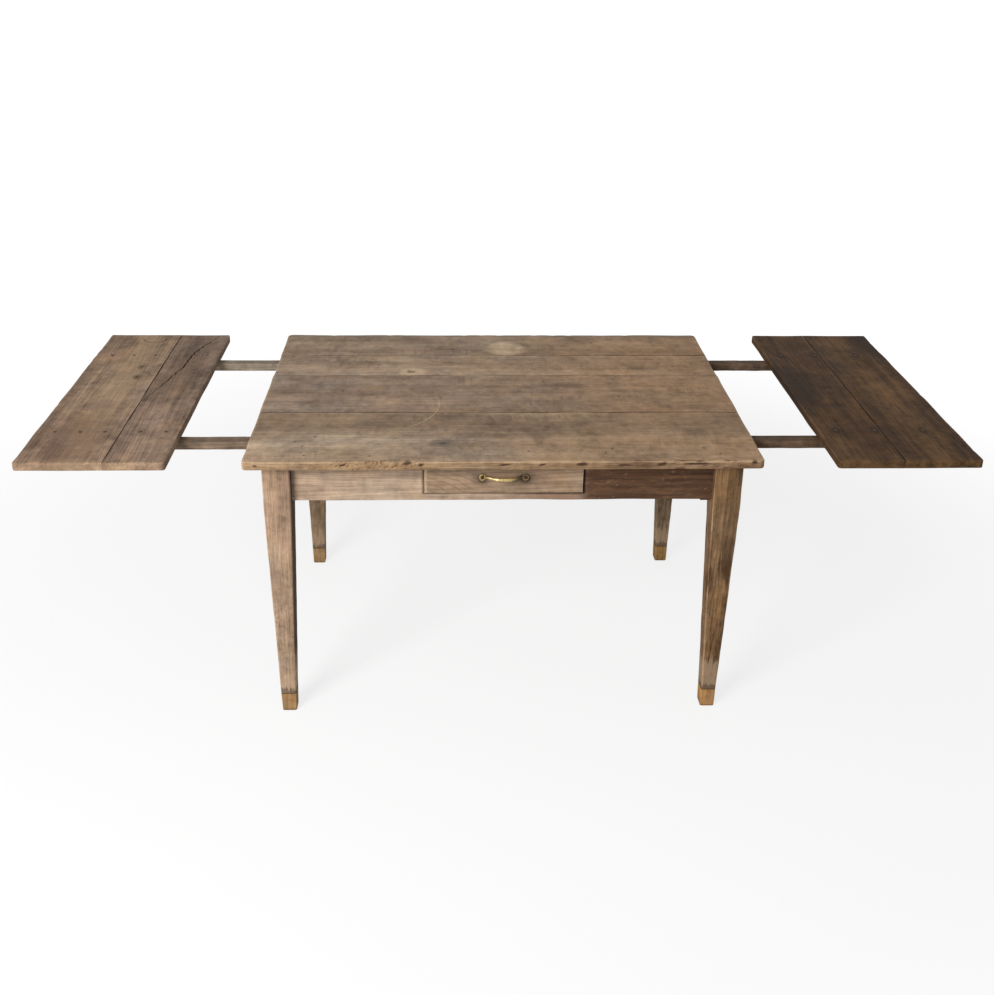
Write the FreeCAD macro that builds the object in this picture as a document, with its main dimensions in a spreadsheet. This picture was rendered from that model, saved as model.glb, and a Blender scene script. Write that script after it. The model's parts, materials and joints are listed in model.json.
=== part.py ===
import FreeCAD, Part
import math
import os
import Sketcher

# Farmhouse table with a drawer and two draw-out leaves
#
# Millimetres. The origin lies on the floor under the middle of the table, +X runs along the
# table to the right leaf, -Y is the side with the drawer and +Z is up. The leaves stand at
# rest drawn out of their guides by leaf_out, level with the top.

doc = FreeCAD.newDocument("FarmhouseTable")

# Driving sizes, each one written once. A name that ends in share is a part of another size.
SIZES = {
    # The top and where it lies
    "table_height": 760,
    "top_length": 1275,
    "top_depth": 910,
    "top_thickness": 22,
    "front_board_share": 0.33,
    "centre_board_share": 0.29,
    "inner_board_share": 0.18,
    "end_overhang": 42,
    "side_overhang": 40,
    # Board edges: tongues between the boards, worn arrises and rounded corners in plan
    "seam_gap": 0.5,
    "seam_chamfer": 1.2,
    "tongue_thickness": 7,
    "tongue_depth": 8,
    "corner_radius": 14,
    "worn_radius": 4,
    "small_radius": 1.5,
    # Legs, and the new tips under them
    "leg_width": 70,
    "foot_width": 38,
    "leg_square_drop": 13,
    "leg_arris_radius": 4,
    "foot_tip_height": 55,
    "dowel_diameter": 12,
    "dowel_length": 60,
    # Aprons and their tenons
    "apron_depth": 113,
    "apron_thickness": 22,
    "apron_recess": 18,
    "tenon_thickness": 9,
    "tenon_shoulder": 12,
    "tenon_gap": 2.5,
    "corner_block_width": 24,
    "corner_block_height": 80,
    "corner_block_rise": 9,
    "joint_clearance": 0.2,
    # The drawer, its box and the opening that it fills
    "drawer_width": 395,
    "drawer_length": 520,
    "drawer_proud": 8,
    "drawer_side_gap": 1,
    "drawer_top_gap": 0.8,
    "drawer_rail_height": 25,
    "front_thickness": 22,
    "lap_thickness": 8,
    "side_thickness": 11,
    "side_drop": 4,
    "back_thickness": 11,
    "bottom_thickness": 6,
    "bottom_lift": 10,
    "groove_depth": 5,
    "tail_base_share": 0.46,
    "tail_slope_share": 0.17,
    # What carries the drawer
    "bearer_width": 38,
    "bearer_inset": 18,
    "bearer_housing": 6,
    "guide_width": 15,
    "guide_height": 42,
    "stop_length": 24,
    "stop_height": 14,
    # Battens that tie the boards of the top and hold it to the aprons
    "batten_width": 45,
    "batten_thickness": 20,
    "batten_space": 16,
    # The leaves and their runners
    "leaf_width": 363,
    "left_seam_share": 0.407,
    "right_seam_share": 0.455,
    "leaf_corner_radius": 10,
    "leaf_out_share": 0.576,
    "leaf_home_gap": 0.5,
    "runner_width": 35,
    "runner_thickness": 22,
    "runner_home_space": 46,
    "runner_stop_short": 12,
    "runner_tip_radius": 12,
    "runner_place_share": 0.2,
    "slide_clearance": 0.3,
    "runner_side_gap": 0.6,
    # Rebated cleats that the runners slide in
    "cleat_width": 18,
    "cleat_overrun": 14,
    "cleat_screw_share": 0.3,
    "ledge_width": 11,
    "ledge_thickness": 10,
    # Screws
    "screw_diameter": 4,
    "screw_head_diameter": 9,
    "screw_head_depth": 3,
    "screw_bite": 14,
    # The brass bow handle
    "handle_span": 107,
    "eye_diameter": 18,
    "eye_thickness": 3,
    "grip_diameter": 9.5,
    "grip_projection": 16,
    "dome_height": 2.4,
    "dome_diameter": 9,
    "dome_share": 0.9,
    # One overrun serves all cuts
    "overrun": 1,
}

# Places worked out from the sizes
PLACES = {
    "top_underside": "Sizes.table_height - Sizes.top_thickness",
    "apron_bottom": "top_underside - Sizes.apron_depth",
    "leg_x": "Sizes.top_length / 2 - Sizes.end_overhang - Sizes.leg_width / 2",
    "leg_y": "Sizes.top_depth / 2 - Sizes.side_overhang - Sizes.leg_width / 2",
    "taper_start": "apron_bottom - Sizes.leg_square_drop",
    "tip_width": "Sizes.foot_width + (Sizes.leg_width - Sizes.foot_width)"
                 " * Sizes.foot_tip_height / taper_start",
    "taper_angle": "atan((Sizes.leg_width - Sizes.foot_width) / 2 / taper_start)",
    "apron_in_leg": "Sizes.apron_recess + Sizes.apron_thickness / 2 - Sizes.leg_width / 2",
    "long_apron_y": "leg_y - apron_in_leg",
    "end_apron_x": "leg_x - apron_in_leg",
    "long_apron_inner": "long_apron_y - Sizes.apron_thickness / 2",
    "end_apron_inner": "end_apron_x - Sizes.apron_thickness / 2",
    "long_apron_length": "2 * leg_x - Sizes.leg_width",
    "end_apron_length": "2 * leg_y - Sizes.leg_width",
    "tenon_length": "Sizes.leg_width / 2 - apron_in_leg"
                    " - Sizes.tenon_thickness / 2 - Sizes.tenon_gap",
    "tenon_height": "Sizes.apron_depth - 2 * Sizes.tenon_shoulder",
    "drawer_face_y": "long_apron_y + Sizes.apron_thickness / 2 + Sizes.drawer_proud",
    "bearer_top": "apron_bottom + Sizes.drawer_rail_height",
    "drawer_z": "bearer_top + Sizes.slide_clearance",
    "drawer_front_height": "top_underside - Sizes.drawer_top_gap - drawer_z",
    "drawer_side_height": "drawer_front_height - Sizes.side_drop",
    "side_shoulder": "Sizes.drawer_length - Sizes.back_thickness",
    "groove_top": "Sizes.bottom_lift + Sizes.bottom_thickness",
    "groove_height": "Sizes.bottom_thickness + 2 * Sizes.joint_clearance",
    "back_height": "drawer_side_height - groove_top",
    "guide_x": "Sizes.drawer_width / 2 + Sizes.drawer_side_gap",
    "bearer_x": "guide_x - Sizes.bearer_inset + Sizes.bearer_width / 2",
    "batten_x": "bearer_x + (Sizes.bearer_width + Sizes.batten_width) / 2"
                " + Sizes.batten_space",
    "runner_y": "Sizes.top_depth * (1 / 2 - Sizes.runner_place_share)",
    "runner_tip_home": "batten_x + Sizes.batten_width / 2 + Sizes.runner_home_space",
    "runner_reach": "Sizes.top_length / 2 + Sizes.leaf_home_gap - runner_tip_home",
    "leaf_out": "runner_reach * Sizes.leaf_out_share",
    "leaf_x": "Sizes.top_length / 2 + Sizes.leaf_home_gap + leaf_out",
    "leaf_z": "top_underside - Sizes.slide_clearance",
    "runner_slot_width": "Sizes.runner_width + 2 * Sizes.runner_side_gap",
    "runner_slot_height": "Sizes.runner_thickness + 2 * Sizes.slide_clearance",
    "cleat_length": "end_apron_inner - runner_tip_home + Sizes.cleat_overrun",
    "cleat_x": "end_apron_inner - cleat_length / 2",
    "cleat_middle": "(runner_slot_width + Sizes.cleat_width) / 2",
    "cleat_depth": "runner_slot_height + Sizes.ledge_thickness",
}

TAIL_COUNT = 3
QUARTER_TURN = 90
HALF_TURN = 180
FRONT_REAR = (("front", -1), ("rear", 1))
LEFT_RIGHT = (("left", -1), ("right", 1))


# The two sheets

def fill_sheet(name, cells, lead=""):
    """Write one row for each name: the name in column A and its aliased value in column B."""
    sheet = doc.addObject("Spreadsheet::Sheet", name)
    for row, (alias, content) in enumerate(cells.items(), start=1):
        sheet.set(f"A{row}", alias)
        sheet.set(f"B{row}", f"{lead}{content}")
        sheet.setAlias(f"B{row}", alias)
    return sheet


sizes = fill_sheet("Sizes", SIZES)
places = fill_sheet("Places", PLACES, lead="=")
doc.recompute()

sub_parts = []


# Building blocks: a body, its outlines, and the features that are made from them

def new_body(label, x="0", y="0", z="0", turn=0, several=False):
    """A sub-part with its own frame at x, y, z, turned about the upright axis by turn degrees."""
    body = doc.addObject("PartDesign::Body", label)
    body.Label = label
    body.AllowCompound = several
    body.Placement = FreeCAD.Placement(
        FreeCAD.Vector(), FreeCAD.Rotation(FreeCAD.Vector(0, 0, 1), turn)
    )
    for axis, place in zip("xyz", (x, y, z)):
        body.setExpression(f"Placement.Base.{axis}", place)
    sub_parts.append(body)
    return body


def new_sketch(body, name, plane, offset):
    """An empty sketch on one of the body's own planes, moved along its normal by offset."""
    sketch = body.newObject("Sketcher::SketchObject", f"{body.Name}_{name}")
    support = next(item for item in body.Origin.OriginFeatures if item.Role == f"{plane}_Plane")
    sketch.AttachmentSupport = [(support, "")]
    sketch.MapMode = "FlatFace"
    sketch.setExpression("AttachmentOffset.Base.z", offset)
    return sketch


def bind_point(sketch, geometry, position, place):
    """Hold one point of the sketch at a place given as two expressions."""
    for kind, distance in zip(("DistanceX", "DistanceY"), place):
        rule = Sketcher.Constraint(kind, -1, 1, geometry, position, 1.0)
        index = sketch.addConstraint(rule)
        sketch.setExpression(f"Constraints[{index}]", distance)


def outline(body, name, plane, points, offset="0"):
    """A closed outline of straight lines through points, each a pair of expressions."""
    sketch = new_sketch(body, name, plane, offset)
    count = len(points)
    turns = [2 * math.pi * index / count for index in range(count)]
    ring = [FreeCAD.Vector(math.cos(turn), math.sin(turn), 0) for turn in turns]
    for index in range(count):
        sketch.addGeometry(Part.LineSegment(ring[index], ring[(index + 1) % count]))
    for index in range(count):
        sketch.addConstraint(Sketcher.Constraint("Coincident", index, 2, (index + 1) % count, 1))
        bind_point(sketch, index, 1, points[index])
    return sketch


def rectangle(body, name, plane, low, high, offset="0"):
    """A rectangle between two corners."""
    corners = [low, (high[0], low[1]), high, (low[0], high[1])]
    return outline(body, name, plane, corners, offset)


def square(body, name, width, offset):
    """A square about the body's upright axis."""
    half = f"({width}) / 2"
    minus = f"-({width}) / 2"
    return rectangle(body, name, "XY", (minus, minus), (half, half), offset)


def circles(body, name, plane, centres, diameter, offset="0"):
    """Equal circles, each centre a pair of expressions."""
    sketch = new_sketch(body, name, plane, offset)
    upright = FreeCAD.Vector(0, 0, 1)
    for index, centre in enumerate(centres):
        start = FreeCAD.Vector(index, index, 0)
        sketch.addGeometry(Part.Circle(start, upright, 1))
        bind_point(sketch, index, 3, centre)
        size = sketch.addConstraint(Sketcher.Constraint("Diameter", index, 1.0))
        sketch.setExpression(f"Constraints[{size}]", diameter)
    return sketch


def pad(sketch, length, side="One side", reverse=False, kind="Pad", taper="0"):
    """Raise a sketch by length, or sink it where kind is Pocket."""
    body = sketch.getParentGeoFeatureGroup()
    feature = body.newObject(f"PartDesign::{kind}", f"{sketch.Name}_{kind.lower()}")
    feature.Profile = sketch
    feature.SideType = side
    feature.Reversed = reverse
    feature.setExpression("Length", length)
    feature.setExpression("TaperAngle", taper)
    return feature


def loft(body, name, sections):
    """A smooth solid through a row of sections."""
    feature = body.newObject("PartDesign::AdditiveLoft", f"{body.Name}_{name}")
    feature.Profile = sections[0]
    feature.Sections = sections[1:]
    return feature


def block(body, name, low, size, kind="Additive"):
    """Add a box to the body, or take one away, from its low corner and its three sizes."""
    feature = body.newObject(f"PartDesign::{kind}Box", f"{body.Name}_{name}")
    for axis, place in zip("xyz", low):
        feature.setExpression(f"Placement.Base.{axis}", place)
    for side, length in zip(("Length", "Width", "Height"), size):
        feature.setExpression(side, length)
    return feature


def round_edges(body, name, radius, chosen, kind="Fillet"):
    """Round every edge of the body's last feature for which chosen says yes."""
    doc.recompute()
    base = body.Tip
    names = [
        f"Edge{index}"
        for index, edge in enumerate(base.Shape.Edges, start=1)
        if chosen(edge)
    ]
    feature = body.newObject(f"PartDesign::{kind}", f"{body.Name}_{name}")
    feature.Base = (base, names)
    feature.setExpression("Radius" if kind == "Fillet" else "Size", radius)
    return feature


def near(first, second):
    """Whether two coordinates are the same but for rounding."""
    return math.isclose(first, second, abs_tol=Part.Precision.confusion() * 10)


# The top: four boards with tongues between them

BOARDS = ("front", "centre", "inner", "rear")


def board_section(width, tongue, groove):
    """Section of a board from its near edge at 0 to its far edge at width.

    The near edge can carry a tongue and the far edge a groove. The upper arris along a seam
    is chamfered, and the board keeps half a seam gap from the seam's line.
    """
    near_edge = "Sizes.seam_gap / 2" if tongue else "0"
    far_edge = f"({width} - Sizes.seam_gap / 2)" if groove else f"({width})"
    low = "(Sizes.top_thickness - Sizes.tongue_thickness) / 2"
    high = "(Sizes.top_thickness + Sizes.tongue_thickness) / 2"
    top = "Sizes.top_thickness"
    chamfered = "Sizes.top_thickness - Sizes.seam_chamfer"
    points = [(near_edge, "0")]
    if tongue:
        tip = "Sizes.seam_gap / 2 - Sizes.tongue_depth"
        points += [(near_edge, low), (tip, low), (tip, high), (near_edge, high)]
        points += [(near_edge, chamfered), (f"{near_edge} + Sizes.seam_chamfer", top)]
    else:
        points += [(near_edge, top)]
    if groove:
        floor = f"{far_edge} - Sizes.tongue_depth - Sizes.joint_clearance"
        groove_low = f"{low} - Sizes.joint_clearance"
        groove_high = f"{high} + Sizes.joint_clearance"
        points += [(f"{far_edge} - Sizes.seam_chamfer", top), (far_edge, chamfered)]
        points += [(far_edge, groove_high), (floor, groove_high)]
        points += [(floor, groove_low), (far_edge, groove_low)]
    else:
        points += [(far_edge, top)]
    return points + [(far_edge, "0")]


def wear_board(body, near_free, far_free, across, along, corner_radius):
    """Round the free corners in plan, then the upper and lower arrises that lie open.

    across is the axis the section runs along and along the axis of the board's length.
    """
    doc.recompute()
    box = body.Tip.Shape.BoundBox
    limits = {"x": (box.XMin, box.XMax), "y": (box.YMin, box.YMax)}
    ends = limits[along]
    free = []
    if near_free:
        free.append(limits[across][0])
    if far_free:
        free.append(limits[across][1])

    def spots(edge):
        middle = edge.valueAt((edge.FirstParameter + edge.LastParameter) / 2)
        return [vertex.Point for vertex in edge.Vertexes] + [middle]

    def is_corner(edge):
        points = spots(edge)
        at_end = any(all(near(getattr(point, along), end) for point in points) for end in ends)
        at_side = any(all(near(getattr(point, across), side) for point in points) for side in free)
        return at_end and at_side

    def is_open_arris(edge):
        points = spots(edge)
        level = all(near(point.z, points[0].z) for point in points)
        outer = near(points[0].z, box.ZMax) or near(points[0].z, box.ZMin)
        middle = points[-1]
        at_end = any(near(getattr(middle, along), end) for end in ends)
        at_side = any(near(getattr(middle, across), side) for side in free)
        curved = not isinstance(edge.Curve, Part.Line)
        return level and outer and (at_end or at_side or curved)

    if free:
        round_edges(body, "corners", corner_radius, is_corner)
    round_edges(body, "arrises", "Sizes.worn_radius", is_open_arris)


top_boards = []
start = "0"
for name in BOARDS:
    has_tongue = name != BOARDS[0]
    has_groove = name != BOARDS[-1]
    share = f"Sizes.{name}_board_share" if has_groove else f"(1 - ({start}))"
    start_y = f"Sizes.top_depth * ({start} - 1 / 2)"
    board = new_body(f"top_board_{name}", y=start_y, z="Places.top_underside")
    top_boards.append((board, start_y))
    section = board_section(f"Sizes.top_depth * {share}", has_tongue, has_groove)
    pad(outline(board, "section", "YZ", section), "Sizes.top_length", side="Symmetric")
    wear_board(board, not has_tongue, not has_groove, "y", "x", "Sizes.corner_radius")
    start += f" + {share}"


# Legs: square down to below the aprons, then tapered on all four sides

CORNERS = (
    ("front_left", -1, -1, 0),
    ("front_right", 1, -1, QUARTER_TURN),
    ("rear_right", 1, 1, HALF_TURN),
    ("rear_left", -1, 1, HALF_TURN + QUARTER_TURN),
)


def long_edge(edge):
    """Whether an edge runs mainly upright."""
    first, last = (vertex.Point for vertex in edge.Vertexes)
    rise = abs(last.z - first.z)
    return rise > abs(last.x - first.x) + abs(last.y - first.y)


def outer_corner_edge(edge):
    """Whether an upright edge lies at a corner of the leg, and not in a mortise."""
    if len(edge.Vertexes) != 2 or not long_edge(edge):
        return False
    middle = edge.valueAt((edge.FirstParameter + edge.LastParameter) / 2)
    return near(abs(middle.x), abs(middle.y))


def make_leg(corner, side_x, side_y, turn):
    """One leg. Its own frame has the table's outer corner towards -X and -Y."""
    leg = new_body(
        f"{corner}_leg", x=f"{side_x} * Places.leg_x", y=f"{side_y} * Places.leg_y", turn=turn
    )
    lower = square(leg, "lower", "Places.tip_width", "Sizes.foot_tip_height")
    pad(lower, "Places.taper_start - Sizes.foot_tip_height", taper="Places.taper_angle")
    head = square(leg, "head", "Sizes.leg_width", "Places.taper_start")
    pad(head, "Places.top_underside - Places.taper_start")
    round_edges(leg, "arrises", "Sizes.leg_arris_radius", outer_corner_edge)
    across = "Places.apron_in_leg - Sizes.tenon_thickness / 2 - Sizes.joint_clearance"
    inward = "Sizes.leg_width / 2 - Places.tenon_length - Sizes.joint_clearance"
    upward = "Places.apron_bottom + Sizes.tenon_shoulder - Sizes.joint_clearance"
    deep = "Places.tenon_length + Sizes.joint_clearance + Sizes.overrun"
    wide = "Sizes.tenon_thickness + 2 * Sizes.joint_clearance"
    high = "Places.tenon_height + 2 * Sizes.joint_clearance"
    block(leg, "long_mortise", (inward, across, upward), (deep, wide, high), "Subtractive")
    block(leg, "end_mortise", (across, inward, upward), (wide, deep, high), "Subtractive")
    bore = leg.newObject("PartDesign::SubtractiveCylinder", f"{leg.Name}_dowel_hole")
    bore.setExpression("Radius", "Sizes.dowel_diameter / 2")
    bore.setExpression("Height", "Sizes.dowel_length / 2 + Sizes.overrun")
    bore.setExpression("Placement.Base.z", "Sizes.foot_tip_height - Sizes.overrun")


def make_foot_tip(corner, side_x, side_y):
    """The new-wood tip glued under a leg, which carries the taper on to the floor."""
    tip = new_body(
        f"{corner}_foot_tip", x=f"{side_x} * Places.leg_x", y=f"{side_y} * Places.leg_y"
    )
    sole = square(tip, "sole", "Sizes.foot_width", "0")
    pad(sole, "Sizes.foot_tip_height", taper="Places.taper_angle")

    def arris_or_sole(edge):
        return outer_corner_edge(edge) or all(near(vertex.Z, 0) for vertex in edge.Vertexes)

    round_edges(tip, "arrises", "Sizes.leg_arris_radius", arris_or_sole)
    bore = tip.newObject("PartDesign::SubtractiveCylinder", f"{tip.Name}_dowel_hole")
    bore.setExpression("Radius", "Sizes.dowel_diameter / 2")
    bore.setExpression("Height", "Sizes.dowel_length / 2 + Sizes.overrun")
    bore.setExpression("Placement.Base.z", "Sizes.foot_tip_height - Sizes.dowel_length / 2")


for corner, side_x, side_y, turn in CORNERS:
    make_leg(corner, side_x, side_y, turn)
    make_foot_tip(corner, side_x, side_y)

dowels = new_body("foot_dowels", several=True)
dowel_centres = [(f"{x} * Places.leg_x", f"{y} * Places.leg_y") for _, x, y, _ in CORNERS]
dowel_start = "Sizes.foot_tip_height - Sizes.dowel_length / 2"
pad(
    circles(dowels, "ends", "XY", dowel_centres, "Sizes.dowel_diameter", dowel_start),
    "Sizes.dowel_length",
)


# Aprons: four boards with a tenon at each end

def make_apron(label, length, x, y, turn):
    """An apron along its own X axis, with its lower edge at the height of its frame."""
    apron = new_body(label, x=x, y=y, z="Places.apron_bottom", turn=turn)
    size = (length, "Sizes.apron_thickness", "Sizes.apron_depth")
    block(apron, "board", (f"-{length} / 2", "-Sizes.apron_thickness / 2", "0"), size)
    tenon_size = ("Places.tenon_length", "Sizes.tenon_thickness", "Places.tenon_height")
    starts = (f"{length} / 2", f"-{length} / 2 - Places.tenon_length")
    for end, start in enumerate(starts, start=1):
        low = (start, "-Sizes.tenon_thickness / 2", "Sizes.tenon_shoulder")
        block(apron, f"tenon_{end}", low, tenon_size)
    return apron


front_apron = make_apron("front_apron", "Places.long_apron_length", "0", "-Places.long_apron_y", 0)
block(
    front_apron,
    "drawer_opening",
    ("-Places.guide_x", "-Sizes.apron_thickness / 2 - Sizes.overrun", "Sizes.drawer_rail_height"),
    ("2 * Places.guide_x", "Sizes.apron_thickness + 2 * Sizes.overrun", "Sizes.apron_depth"),
    "Subtractive",
)
rear_apron = make_apron(
    "rear_apron", "Places.long_apron_length", "0", "Places.long_apron_y", HALF_TURN
)

for apron in (front_apron, rear_apron):
    for side, sign in LEFT_RIGHT:
        low = (
            f"{sign} * Places.bearer_x - Sizes.bearer_width / 2 - Sizes.joint_clearance",
            "Sizes.apron_thickness / 2 - Sizes.bearer_housing - Sizes.joint_clearance",
            "-Sizes.overrun",
        )
        size = (
            "Sizes.bearer_width + 2 * Sizes.joint_clearance",
            "Sizes.bearer_housing + Sizes.joint_clearance + Sizes.overrun",
            "Sizes.drawer_rail_height + Sizes.overrun",
        )
        block(apron, f"{side}_bearer_housing", low, size, "Subtractive")

for side, sign in LEFT_RIGHT:
    apron = make_apron(
        f"{side}_end_apron",
        "Places.end_apron_length",
        f"{sign} * Places.end_apron_x",
        "0",
        sign * QUARTER_TURN,
    )
    for row, row_sign in FRONT_REAR:
        low = (
            f"{row_sign} * Places.runner_y - Places.runner_slot_width / 2",
            "-Sizes.apron_thickness / 2 - Sizes.overrun",
            "Sizes.apron_depth - Places.runner_slot_height",
        )
        size = (
            "Places.runner_slot_width",
            "Sizes.apron_thickness + 2 * Sizes.overrun",
            "Places.runner_slot_height + Sizes.overrun",
        )
        block(apron, f"{row}_runner_notch", low, size, "Subtractive")


# Corner blocks: one glued behind each end of the long aprons, against the leg. The front
# right one has slipped and shows below the apron.

blocks = new_body("corner_blocks", several=True)
for corner, side_x, side_y, _ in CORNERS:
    slipped = corner == "front_right"
    bottom = "Places.taper_start" if slipped else "Places.apron_bottom + Sizes.corner_block_rise"
    low_x = f"{side_x} * Places.long_apron_length / 2 - Sizes.corner_block_width * {int(side_x > 0)}"
    low_y = f"{side_y} * Places.long_apron_inner - Sizes.corner_block_width * {int(side_y > 0)}"
    size = ("Sizes.corner_block_width", "Sizes.corner_block_width", "Sizes.corner_block_height")
    block(blocks, corner, (low_x, low_y, bottom), size)


# Bearers, guides and stops that carry the drawer

for side, sign in LEFT_RIGHT:
    bearer = new_body(f"{side}_drawer_bearer", x=f"{sign} * Places.bearer_x", z="Places.apron_bottom")
    bearer_half = "(Places.long_apron_inner + Sizes.bearer_housing)"
    block(
        bearer,
        "rail",
        ("-Sizes.bearer_width / 2", f"-{bearer_half}", "0"),
        ("Sizes.bearer_width", f"2 * {bearer_half}", "Sizes.drawer_rail_height"),
    )
    guide = new_body(
        f"{side}_drawer_guide",
        x=f"{sign} * (Places.guide_x + Sizes.guide_width / 2)",
        z="Places.bearer_top",
    )
    block(
        guide,
        "strip",
        ("-Sizes.guide_width / 2", "-Places.long_apron_inner", "0"),
        ("Sizes.guide_width", "2 * Places.long_apron_inner", "Sizes.guide_height"),
    )
    stop = new_body(
        f"{side}_drawer_stop",
        x=f"{sign} * (Places.guide_x - Sizes.bearer_inset / 2)",
        y="Sizes.drawer_length - Places.drawer_face_y + Sizes.slide_clearance",
        z="Places.bearer_top",
    )
    block(
        stop,
        "body",
        ("-Sizes.bearer_inset / 2", "0", "0"),
        ("Sizes.bearer_inset", "Sizes.stop_length", "Sizes.stop_height"),
    )


# The drawer: half-blind dovetails at the front, through dovetails at the back

def tail_points(count, base_line, end_line, low, height):
    """Outlines of a row of dovetails, each as four points from its lower base corner round.

    The tails stand on base_line and widen to end_line. They share the stretch of height
    that starts at low.
    """
    pitch = f"({height}) / {count}"
    reach = f"abs({end_line} - ({base_line}))"
    narrow = f"{pitch} * Sizes.tail_base_share / 2"
    wide = f"({narrow} + {reach} * Sizes.tail_slope_share)"
    tails = []
    for index in range(count):
        centre = f"{low} + {pitch} * ({index} + 1 / 2)"
        tails.append(
            [
                (base_line, f"{centre} - {narrow}"),
                (end_line, f"{centre} - {wide}"),
                (end_line, f"{centre} + {wide}"),
                (base_line, f"{centre} + {narrow}"),
            ]
        )
    return tails


front_tails = tail_points(
    TAIL_COUNT, "Sizes.front_thickness", "Sizes.lap_thickness", "0", "Places.drawer_side_height"
)
back_tails = tail_points(
    TAIL_COUNT,
    "Places.side_shoulder",
    "Sizes.drawer_length",
    "Places.groove_top",
    "Places.back_height",
)


def drawer_body(label):
    """A piece of the drawer, in the frame of the drawer's lower front edge."""
    return new_body(label, y="-Places.drawer_face_y", z="Places.drawer_z")


def cut_sockets(body, tails):
    """Sink the dovetails' sockets into both ends of a board that lies across the drawer."""
    for side, sign in LEFT_RIGHT:
        for index, tail in enumerate(tails, start=1):
            start = f"{sign} * Sizes.drawer_width / 2"
            socket = outline(body, f"{side}_socket_{index}", "YZ", tail, start)
            pad(socket, "Sizes.side_thickness", reverse=sign < 0, kind="Pocket")


for side, sign in LEFT_RIGHT:
    panel = drawer_body(f"drawer_{side}_side")
    shape = [("Sizes.front_thickness", "0"), ("Sizes.drawer_length", "0")]
    shape += [("Sizes.drawer_length", "Places.groove_top"), ("Places.side_shoulder", "Places.groove_top")]
    for tail in back_tails:
        shape += tail
    shape += [("Places.side_shoulder", "Places.drawer_side_height")]
    shape += [("Sizes.front_thickness", "Places.drawer_side_height")]
    for tail in reversed(front_tails):
        shape += reversed(tail)
    outer = f"{sign} * Sizes.drawer_width / 2"
    pad(outline(panel, "outline", "YZ", shape, outer), "Sizes.side_thickness", reverse=sign > 0)
    inner = "Sizes.drawer_width / 2 - Sizes.side_thickness"
    groove_start = inner if sign > 0 else f"-({inner}) - Sizes.groove_depth"
    block(
        panel,
        "groove",
        (
            f"{groove_start} - Sizes.overrun * {int(sign > 0)}",
            "Sizes.front_thickness - Sizes.groove_depth",
            "Sizes.bottom_lift - Sizes.joint_clearance",
        ),
        ("Sizes.groove_depth + Sizes.overrun", "Sizes.drawer_length", "Places.groove_height"),
        "Subtractive",
    )

front = drawer_body("drawer_front")
block(
    front,
    "board",
    ("-Sizes.drawer_width / 2", "0", "0"),
    ("Sizes.drawer_width", "Sizes.front_thickness", "Places.drawer_front_height"),
)


def on_face(edge):
    """Whether an edge borders the drawer front's outer face."""
    return all(near(vertex.Y, 0) for vertex in edge.Vertexes)


round_edges(front, "arrises", "Sizes.small_radius", on_face)
cut_sockets(front, front_tails)
inside_half = "(Sizes.drawer_width / 2 - Sizes.side_thickness)"
block(
    front,
    "groove",
    (
        f"-{inside_half} - Sizes.overrun",
        "Sizes.front_thickness - Sizes.groove_depth - Sizes.joint_clearance",
        "Sizes.bottom_lift - Sizes.joint_clearance",
    ),
    (
        f"2 * {inside_half} + 2 * Sizes.overrun",
        "Sizes.groove_depth + Sizes.joint_clearance + Sizes.overrun",
        "Places.groove_height",
    ),
    "Subtractive",
)

back = drawer_body("drawer_back")
block(
    back,
    "board",
    ("-Sizes.drawer_width / 2", "Places.side_shoulder", "Places.groove_top"),
    ("Sizes.drawer_width", "Sizes.back_thickness", "Places.back_height"),
)
cut_sockets(back, back_tails)

bottom = drawer_body("drawer_bottom")
bottom_half = f"({inside_half} + Sizes.groove_depth - Sizes.joint_clearance)"
block(
    bottom,
    "panel",
    (f"-{bottom_half}", "Sizes.front_thickness - Sizes.groove_depth", "Sizes.bottom_lift"),
    (
        f"2 * {bottom_half}",
        "Sizes.drawer_length - Sizes.front_thickness + Sizes.groove_depth",
        "Sizes.bottom_thickness",
    ),
)


# The brass handle: two flat eyes and a bow that swells towards the middle of the grip

# For each station of the bow from an eye inwards: how far it lies along half the span, how
# far it stands out as part of the projection, and its thickness as part of the grip's
BOW_SHARES = (
    (0.10, 0.09, 0.28),
    (0.20, 0.18, 0.42),
    (0.34, 0.42, 0.50),
    (0.48, 0.78, 0.62),
    (0.66, 0.96, 0.84),
    (1.00, 1.00, 1.00),
)

handle_z = "(Places.drawer_z + Places.drawer_front_height / 2)"
handle = new_body("drawer_handle", y="-Places.drawer_face_y", z=handle_z)
eye_centres = [(f"{sign} * Sizes.handle_span / 2", "0") for _, sign in LEFT_RIGHT]
stations = [(-1, shares) for shares in BOW_SHARES]
stations += [(1, shares) for shares in reversed(BOW_SHARES[:-1])]
sections = []
for index, (side, (along, outward, thick)) in enumerate(stations, start=1):
    centre = [(f"-Sizes.grip_projection * {outward}", "0")]
    station_x = f"{side} * Sizes.handle_span / 2 * (1 - {along})"
    diameter = f"Sizes.grip_diameter * {thick}"
    sections.append(circles(handle, f"bow_{index}", "YZ", centre, diameter, station_x))
loft(handle, "bow", sections)
pad(circles(handle, "eyes", "XZ", eye_centres, "Sizes.eye_diameter"), "Sizes.eye_thickness")
clear_hole = "Sizes.screw_diameter + 2 * Sizes.joint_clearance"
pad(
    circles(handle, "eye_holes", "XZ", eye_centres, clear_hole, "Sizes.eye_thickness"),
    "Sizes.eye_thickness + Sizes.overrun",
    kind="Pocket",
)

face_to_handle = "Places.drawer_front_height / 2"
front_centres = [(x, face_to_handle) for x, _ in eye_centres]
pad(
    circles(front, "handle_holes", "XZ", front_centres, clear_hole),
    "Sizes.screw_bite + Sizes.joint_clearance",
    kind="Pocket",
)

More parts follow.
